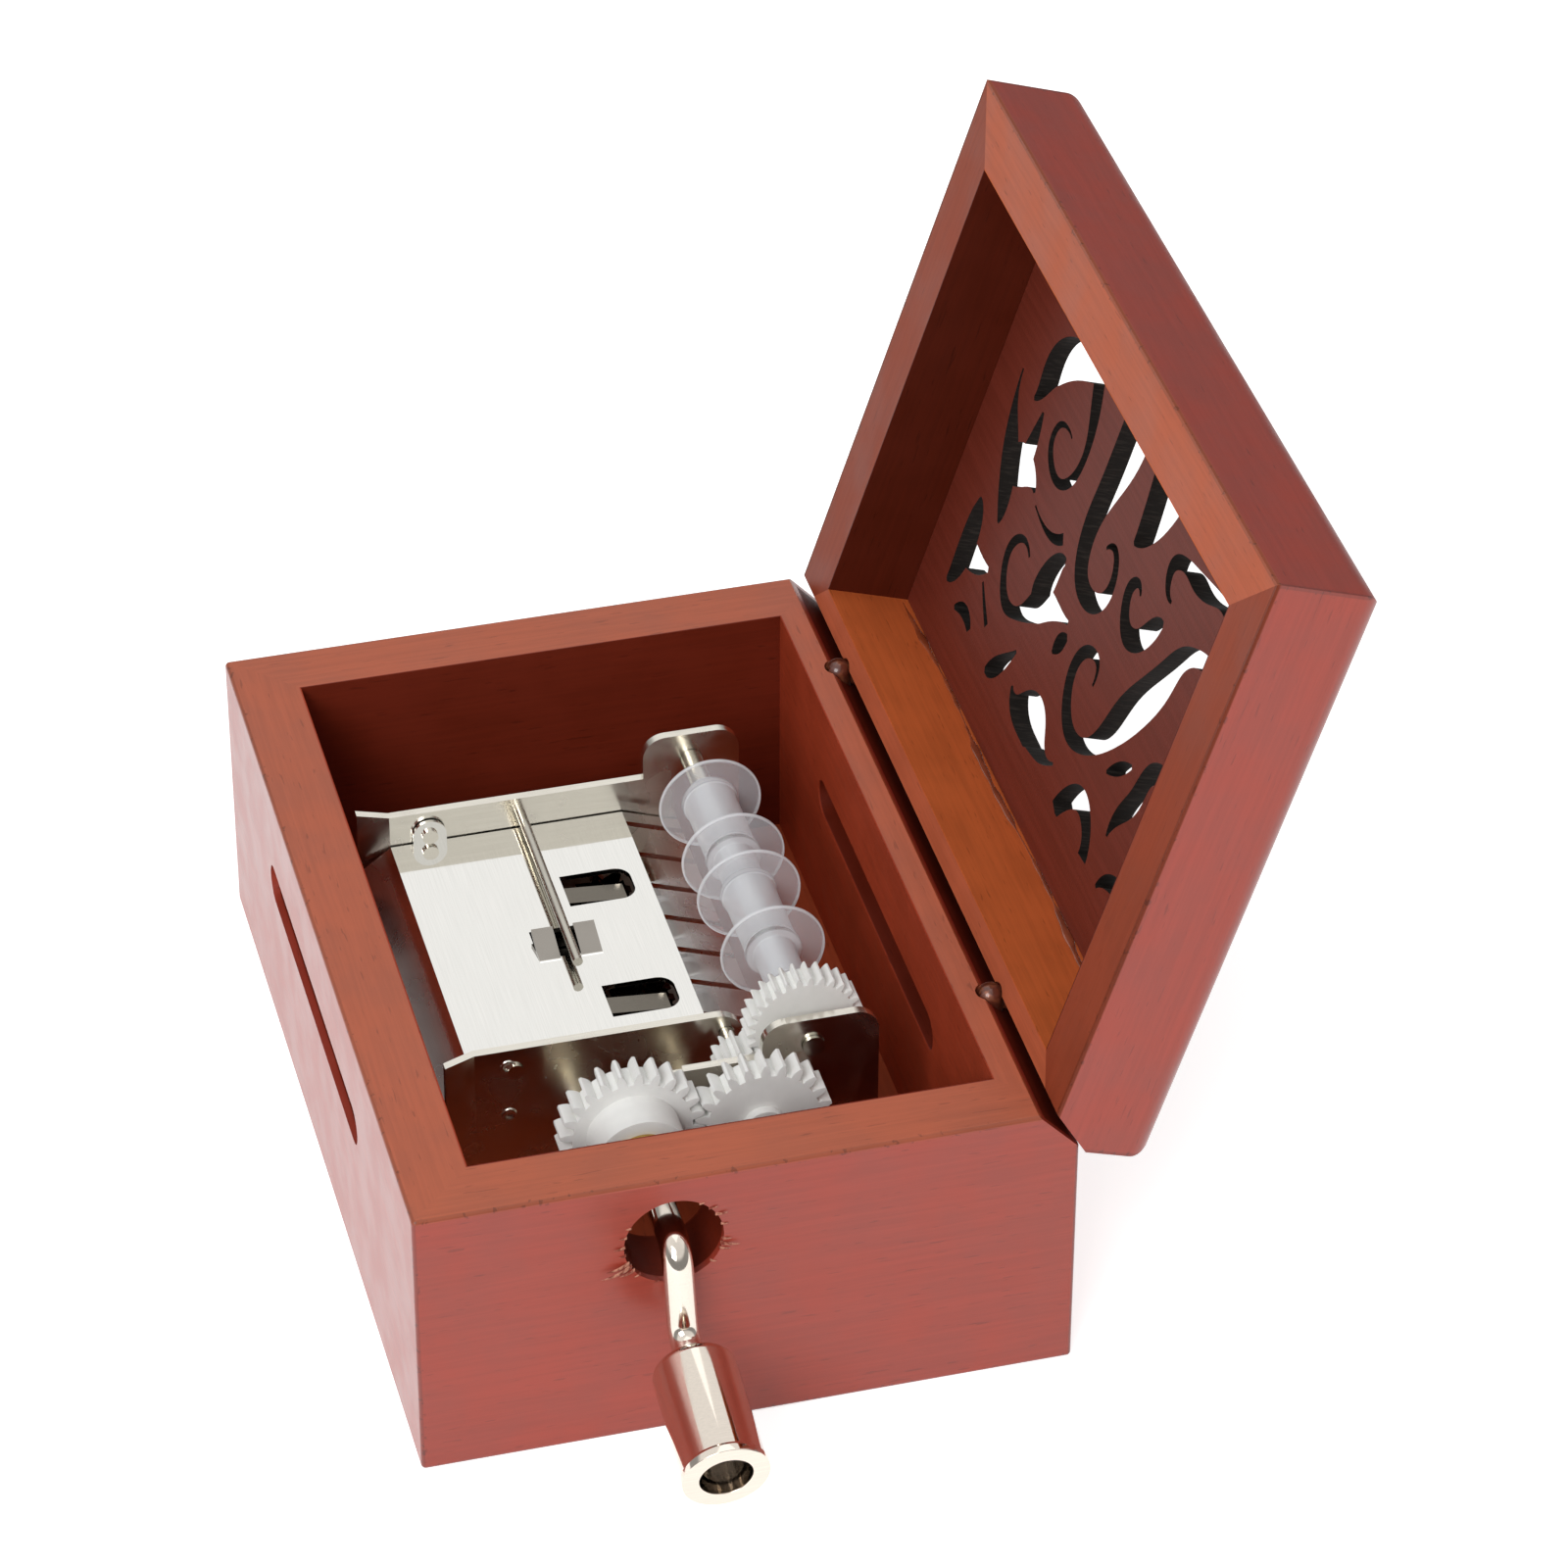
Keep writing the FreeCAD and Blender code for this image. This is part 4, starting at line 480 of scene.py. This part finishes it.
tab = add(tree, MATH, {0: raised, 1: ahead}, operation="MULTIPLY")[0]
plain = sockets["Base Color"].links[0].from_socket
tree.links.new(add(tree, MIX, {0: tab, 6: plain, 7: TAB_STEEL}, **COLOUR)[2], sockets["Base Color"])
gloss = add(tree, MATH, {0: sockets["Roughness"].links[0].from_socket, 1: slope}, operation="ADD")[0]
tree.links.new(add(tree, MATH, {0: tab, 1: 0.3, 2: gloss}, operation="MULTIPLY_ADD")[0], sockets["Roughness"])
paint(polished, "cover_plate")

# Springs, comb, rod, shafts and screws: tempered leaves, a blued comb and drawn bright rod.
# The star wheels are blued too, and the wire's riveted end has gone dark in the knob's bore.
spring_steel = worked_metal("blued_spring_steel", "#3A3530", "#35312C", 0.2, 0.34, 0.2)
leaf_steel = worked_metal("tempered_leaf_steel", "#7A746A", "#716B62", 0.22, 0.36, 0.2)
bright_steel = worked_metal("drawn_bright_steel", "#C9C4B8", "#BAB6AB", 0.2, 0.32, 0.15, "Y")
paint(spring_steel, "comb", "star_wheels", "crank_rivet")
paint(leaf_steel, "leaf_springs")
paint(bright_steel, "cover_rod", "idler_shaft", "roller_shaft", "star_shaft", "frame_screws", "comb_screws")

# Washer and stand-offs: turned from brass bar and left plain, so they are warm and a little dull.
# The washer rides between the crank gear and the case, and the stand-offs lift the frame off the floor.
turned_brass = worked_metal("turned_brass", "#D8B76C", "#C8AA64", 0.22, 0.36, 0.2)
paint(turned_brass, "crank_washer", "frame_standoffs")

# Frame base and comb base: zinc castings, grey and slightly grainy, as they left the mould.
# The plates are screwed to the first, and the comb to the second.
cast_zinc = worked_metal("cast_zinc", "#A9A6A0", "#9D9A94", 0.4, 0.55, 0.3)
paint(cast_zinc, "frame_base", "comb_base")

# Gears: injection-moulded white nylon with a soft sheen, pressed on their shafts.
# Light passes a little way into the teeth, which softens their shade.
FLOW = 1.2 * mm
NYLON_DEPTH = 0.8 * mm


def moulded_nylon(name):
    """White moulded nylon: a faint flow pattern in colour and gloss, lit a little from within."""
    material, tree = empty_material(name)
    place = add(tree, COORDS)["Object"]
    flow = add(tree, NOISE, {"Vector": place, "Scale": 1 / FLOW, "Detail": 3.0})[0]
    shader = add(tree, SHADER, {
        "Base Color": add(tree, MIX, {0: flow, 6: "#EAEAE7", 7: "#F4F4F1"}, **COLOUR)[2],
        "Roughness": add(tree, RANGE, {0: flow, 1: 0.3, 2: 0.7, 3: 0.34, 4: 0.46}, **SMOOTH)[0],
        "IOR": 1.53, "Subsurface Weight": 0.3, "Subsurface Scale": NYLON_DEPTH,
        "Subsurface Radius": (1.0, 1.0, 1.0)})
    add(tree, OUTPUT, {"Surface": shader[0]})
    return material


paint(moulded_nylon("white_moulded_nylon"), "crank_gear", "idler_gear", "idler_pinion", "roller_gear")

# Feed spools: two moulded pieces of clear nylon, frosted by the mould and pressed on the feed shaft.
# Thin flanges carry the edges of the strip, and sleeves between them hide most of the shaft.
ROLLER = np.array(joints["roller_turn"]["pos_m"])
FLANGE_R = 5.8 * mm
HUB_R = 2.9 * mm
SLEEVE_R = 2.3 * mm
SHAFT_R = 1.25 * mm
FLANGE_ROOT = 0.8 * mm
FLANGE_RIM = 0.4 * mm
SPOOL_EASE = 0.15 * mm
HUB_FADE = 0.3 * mm
# The band over which the painted highlight on the flange rims fades in.
RIM_HIGHLIGHT_FADE = (0.3 * mm, 0.1 * mm)
SLEEVE_BACK = 1.2 * mm
SLEEVE_FRONT = 6.0 * mm


def rounded(corners, radius, steps=5):
    """A closed outline whose corners give way to short curves, each a quadratic between two sides."""
    corners = np.asarray(corners, float)
    to_last = np.roll(corners, 1, 0) - corners
    to_next = np.roll(corners, -1, 0) - corners
    last_long = np.linalg.norm(to_last, axis=1, keepdims=True)
    next_long = np.linalg.norm(to_next, axis=1, keepdims=True)
    reach = np.minimum(radius, 0.45 * np.minimum(last_long, next_long))
    start = (corners + to_last / last_long * reach)[:, None]
    end = (corners + to_next / next_long * reach)[:, None]
    step = np.linspace(0, 1, steps)[None, :, None]
    middle = corners[:, None]
    return ((1 - step) ** 2 * start + 2 * step * (1 - step) * middle + step ** 2 * end).reshape(-1, 2)


def frosted_nylon(name):
    """Clear nylon with a frosted skin: thin flanges let more through than the hub, and the flange rims are
    made more opaque as a painted highlight.
    """
    material, tree = empty_material(name)
    place = add(tree, COORDS)["Object"]
    off = add(tree, VECTOR, {0: place, 1: ROLLER}, operation="SUBTRACT")[0]
    flat = add(tree, VECTOR, {0: off, 1: (1.0, 0.0, 1.0)}, operation="MULTIPLY")[0]
    radius = add(tree, VECTOR, {0: flat}, operation="LENGTH")["Value"]
    skin = add(tree, RANGE, {0: radius, 1: HUB_R, 2: HUB_R + HUB_FADE, 3: 0.58, 4: 0.24}, **SMOOTH)[0]
    # Painted highlight: the rim of each flange is made more opaque, so it shows as a bright line.
    rim = add(tree, RANGE, {0: radius, 1: FLANGE_R - RIM_HIGHLIGHT_FADE[0], 2: FLANGE_R - RIM_HIGHLIGHT_FADE[1], 3: 0.0,
                            4: 0.4}, **SMOOTH)[0]
    frost = add(tree, NOISE, {"Vector": place, "Scale": 1 / FLOW, "Detail": 3.0})[0]
    shader = add(tree, SHADER, {
        "Base Color": "#EEF0F4",
        "Roughness": add(tree, RANGE, {0: frost, 1: 0.3, 2: 0.7, 3: 0.3, 4: 0.42}, **SMOOTH)[0],
        "IOR": 1.53,
        "Alpha": add(tree, MATH, {0: skin, 1: rim}, operation="ADD")[0]})
    add(tree, OUTPUT, {"Surface": shader[0]})
    return material


frosted = frosted_nylon("frosted_clear_nylon")
half_gap = (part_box("roller_spool_back")[0].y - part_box("roller_spool_front")[1].y) / 2
for name, before, after in (("roller_spool_back", half_gap, SLEEVE_BACK),
                            ("roller_spool_front", SLEEVE_FRONT, half_gap)):
    low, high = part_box(name)
    end = high.y - low.y
    outline = [(SHAFT_R, -before), (SLEEVE_R, -before), (SLEEVE_R, 0), (FLANGE_R, FLANGE_ROOT - FLANGE_RIM),
               (FLANGE_R, FLANGE_ROOT), (HUB_R, FLANGE_ROOT), (HUB_R, end - FLANGE_ROOT),
               (FLANGE_R, end - FLANGE_ROOT), (FLANGE_R, end - FLANGE_ROOT + FLANGE_RIM), (SLEEVE_R, end),
               (SLEEVE_R, end + after), (SHAFT_R, end + after)]
    skin = lathe(rounded(outline, SPOOL_EASE), (ROLLER[0], low.y, ROLLER[2]), (0, 1, 0))
    spool = surface(name + "_smooth", skin, "roller", frosted, (True, True))
    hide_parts(name)

# Crank wire: steel rod bent cold twice, then nickel plated bright, and pressed into the crank gear.
# The far end passes through the knob and is riveted over inside it.
WIRE_R = 1.6 * mm
BEND_R = 3.0 * mm
ELBOW_OUT = 1.05 * mm
WIRE_FOOT = -32.5 * mm
WIRE_IN_KNOB = 9.5 * mm
KNOB_START = 1.9 * mm
HEEL = np.array(joints["knob_spin"]["pos_m"])
KNOB_WAY = np.array(joints["knob_spin"]["axis"])


def unit(vector):
    """A vector of length one."""
    return vector / np.linalg.norm(vector)


def bent(points, radius, steps=24):
    """A path of straight runs that are joined by arcs of one radius."""
    path = [points[0]]
    for before, corner, after in zip(points, points[1:], points[2:]):
        come = unit(corner - before)
        go = unit(after - corner)
        turn = math.acos(come @ go)
        centre = corner + unit(go - come) * radius / math.cos(turn / 2)
        start = corner - come * radius * math.tan(turn / 2) - centre
        sweep = np.linspace(0, turn, steps)[:, None]
        path.extend(centre + start * np.cos(sweep) + come * radius * np.sin(sweep))
    path.append(points[-1])
    return np.array(path)


def rod(path, radius, around=64):
    """A round section carried along a path that lies in a plane across X, closed at both ends."""
    along = np.gradient(path, axis=0)
    along = along / np.linalg.norm(along, axis=1, keepdims=True)
    side = np.array([1.0, 0.0, 0.0])
    up = np.cross(along, side)
    turn = np.linspace(0, 2 * np.pi, around, endpoint=False)[None, :, None]
    skin = path[:, None] + radius * (np.cos(turn) * side + np.sin(turn) * up[:, None])
    first = np.broadcast_to(path[0], skin[:1].shape)
    last = np.broadcast_to(path[-1], skin[:1].shape)
    return np.concatenate([first, skin, last])


bright_nickel = worked_metal("bright_nickel", "#EADFD2", "#D9CFC3", 0.07, 0.13, 0.08)
wire_elbow = np.array([CRANK[0], BOX_LOW[1] - ELBOW_OUT, CRANK[2]])
wire_start = np.array([CRANK[0], WIRE_FOOT, CRANK[2]])
heel_turn = math.acos(unit(HEEL - wire_elbow) @ KNOB_WAY)
knob_foot = HEEL + KNOB_WAY * (BEND_R * math.tan(heel_turn / 2) + KNOB_START)
wire_end = knob_foot + KNOB_WAY * WIRE_IN_KNOB
wire_path = bent([wire_start, wire_elbow, HEEL, wire_end], BEND_R)
wire = surface("crank_wire_smooth", rod(wire_path, WIRE_R), "crank", bright_nickel)
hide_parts("crank_wire")

# Knob: turned from bar, with an eased shoulder, a thin flange at the free end and a wide bore for the rivet.
# It is nickel plated like the wire and turns freely on it.
KNOB_R = 4.42 * mm
KNOB_LONG = 14.4 * mm
KNOB_FLANGE_R = 4.6 * mm
KNOB_FLANGE = 0.9 * mm
KNOB_BORE_R = 2.8 * mm
KNOB_BORE = 5.0 * mm
KNOB_SHOULDER = 1.2 * mm
FLANGE_STEP = 0.2 * mm
KNOB_EASE = 0.12 * mm
turns = np.linspace(0, np.pi / 2, 12)
shoulder = np.stack([KNOB_R - KNOB_SHOULDER * (1 - np.sin(turns)), KNOB_SHOULDER * (1 - np.cos(turns))], 1)
outer = rounded([(KNOB_R, KNOB_LONG - KNOB_FLANGE - FLANGE_STEP), (KNOB_FLANGE_R, KNOB_LONG - KNOB_FLANGE),
                 (KNOB_FLANGE_R, KNOB_LONG), (KNOB_BORE_R, KNOB_LONG), (KNOB_BORE_R, KNOB_LONG - KNOB_BORE),
                 (WIRE_R, KNOB_LONG - KNOB_BORE), (WIRE_R, 0)], KNOB_EASE)
skin = lathe(np.concatenate([shoulder, outer]), knob_foot, KNOB_WAY, 128)
knob = surface("crank_knob_smooth", skin, "knob", bright_nickel, (True, True))
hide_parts("crank_knob")

# Floor and room: a white table top in a white room, which shine only where they are seen or mirrored.
# The floor keeps the soft shadow, and the room is dimmer low down, as walls are behind a lit table.
FLOOR_HALF = 1.5
FLOOR_GLOW = 0.68
ROOM_LIGHT = 0.42
LIGHT_PATH = "ShaderNodeLightPath"


def seen_rays(tree):
    """Rays from the camera, mirrors and clear pieces as one and others as nought, and the camera's alone."""
    path = add(tree, LIGHT_PATH)
    seen = add(tree, MATH, {0: path["Is Camera Ray"], 1: path["Is Glossy Ray"]}, operation="MAXIMUM")[0]
    seen = add(tree, MATH, {0: seen, 1: path["Is Transmission Ray"]}, operation="MAXIMUM")[0]
    return seen, path["Is Camera Ray"]


floor_mesh = bpy.data.meshes.new("floor")
corners = FLOOR_HALF * np.array([(-1, -1, 0), (1, -1, 0), (1, 1, 0), (-1, 1, 0)])
floor_mesh.from_pydata(corners.tolist(), [], [(0, 1, 2, 3)])
floor = bpy.data.objects.new("floor", floor_mesh)
bpy.context.scene.collection.objects.link(floor)
white, tree = empty_material("white_floor")
glow = add(tree, MATH, {0: seen_rays(tree)[0], 1: FLOOR_GLOW}, operation="MULTIPLY")[0]
shader = add(tree, SHADER, {"Base Color": "#F3F3F3", "Roughness": 1.0, "Emission Color": "#FFFFFF",
                            "Emission Strength": glow})
add(tree, OUTPUT, {"Surface": shader[0]})
floor_mesh.materials.append(white)

world = bpy.data.worlds.new("white_room")
bpy.context.scene.world = world
world.use_nodes = True
tree = world.node_tree
tree.nodes.clear()
seen, camera_ray = seen_rays(tree)
way = add(tree, SPLIT, {0: add(tree, COORDS)["Generated"]})
depth_fade = add(tree, RANGE, {0: way["Y"], 1: -0.7, 2: 0.1, 3: 0.85, 4: 1.0}, **SMOOTH)[0]
height_fade = add(tree, RANGE, {0: way["Z"], 1: 0.35, 2: 0.55, 3: 0.35, 4: 1.0}, **SMOOTH)[0]
room = add(tree, MATH, {0: depth_fade, 1: height_fade}, operation="MULTIPLY")[0]
room = add(tree, MATH, {0: room, 1: camera_ray}, operation="MAXIMUM")[0]
strength = add(tree, MIX, {0: seen, 2: ROOM_LIGHT, 3: room})[0]
background = add(tree, "ShaderNodeBackground", {"Color": "#FFFFFF", "Strength": strength})
add(tree, "ShaderNodeOutputWorld", {"Surface": background[0]})

# Lamps: a large soft source in front on the left, and a weaker one overhead.
# Both are square cloth-covered boxes that face the middle of the case.
AIM = np.array([0.0, 0.0, 0.03])
LAMPS = [("key_light", (-0.55, -0.75, 0.75), 0.6, 8.0), ("top_light", (0.1, 0.1, 1.0), 0.7, 0.8)]


def placed(side, up, away, spot):
    """The matrix of an object from its three axes, which are one long, and its place."""
    turned = np.eye(4)
    turned[:3] = np.stack([side, up, away, spot], 1)
    return Matrix(turned.tolist())


for name, spot, width, power in LAMPS:
    lamp = bpy.data.lights.new(name, "AREA")
    lamp.size = width
    lamp.energy = power
    held = bpy.data.objects.new(name, lamp)
    bpy.context.scene.collection.objects.link(held)
    away = unit(np.array(spot) - AIM)
    side = unit(np.cross((0, 0, 1), away))
    held.matrix_world = placed(side, np.cross(away, side), away, spot)

# Camera: a long lens in front of the case, a little to its left and well above it.
# Its place, aim, roll and focal length were solved from the corners of the case in the photo.
EYE = np.array([-122.39, -521.02, 442.32]) * mm
LOOK = unit(np.array([0.20733, 0.77615, -0.59549]))
ROLL = math.radians(0.21)
PHOTO_WIDE = 1600
FOCAL_PIXELS = 6395.7
SENSOR = 36.0
level = unit(np.cross(LOOK, (0, 0, 1)))
upright = np.cross(level, LOOK)
right = math.cos(ROLL) * level + math.sin(ROLL) * upright
up = math.cos(ROLL) * upright - math.sin(ROLL) * level
lens = bpy.data.cameras.new("photo_camera")
lens.sensor_width = SENSOR
lens.lens = SENSOR * FOCAL_PIXELS / PHOTO_WIDE
camera = bpy.data.objects.new("photo_camera", lens)
bpy.context.scene.collection.objects.link(camera)
camera.matrix_world = placed(right, up, -LOOK, EYE)
bpy.context.scene.camera = camera
bpy.context.scene.view_settings.view_transform = "Standard"
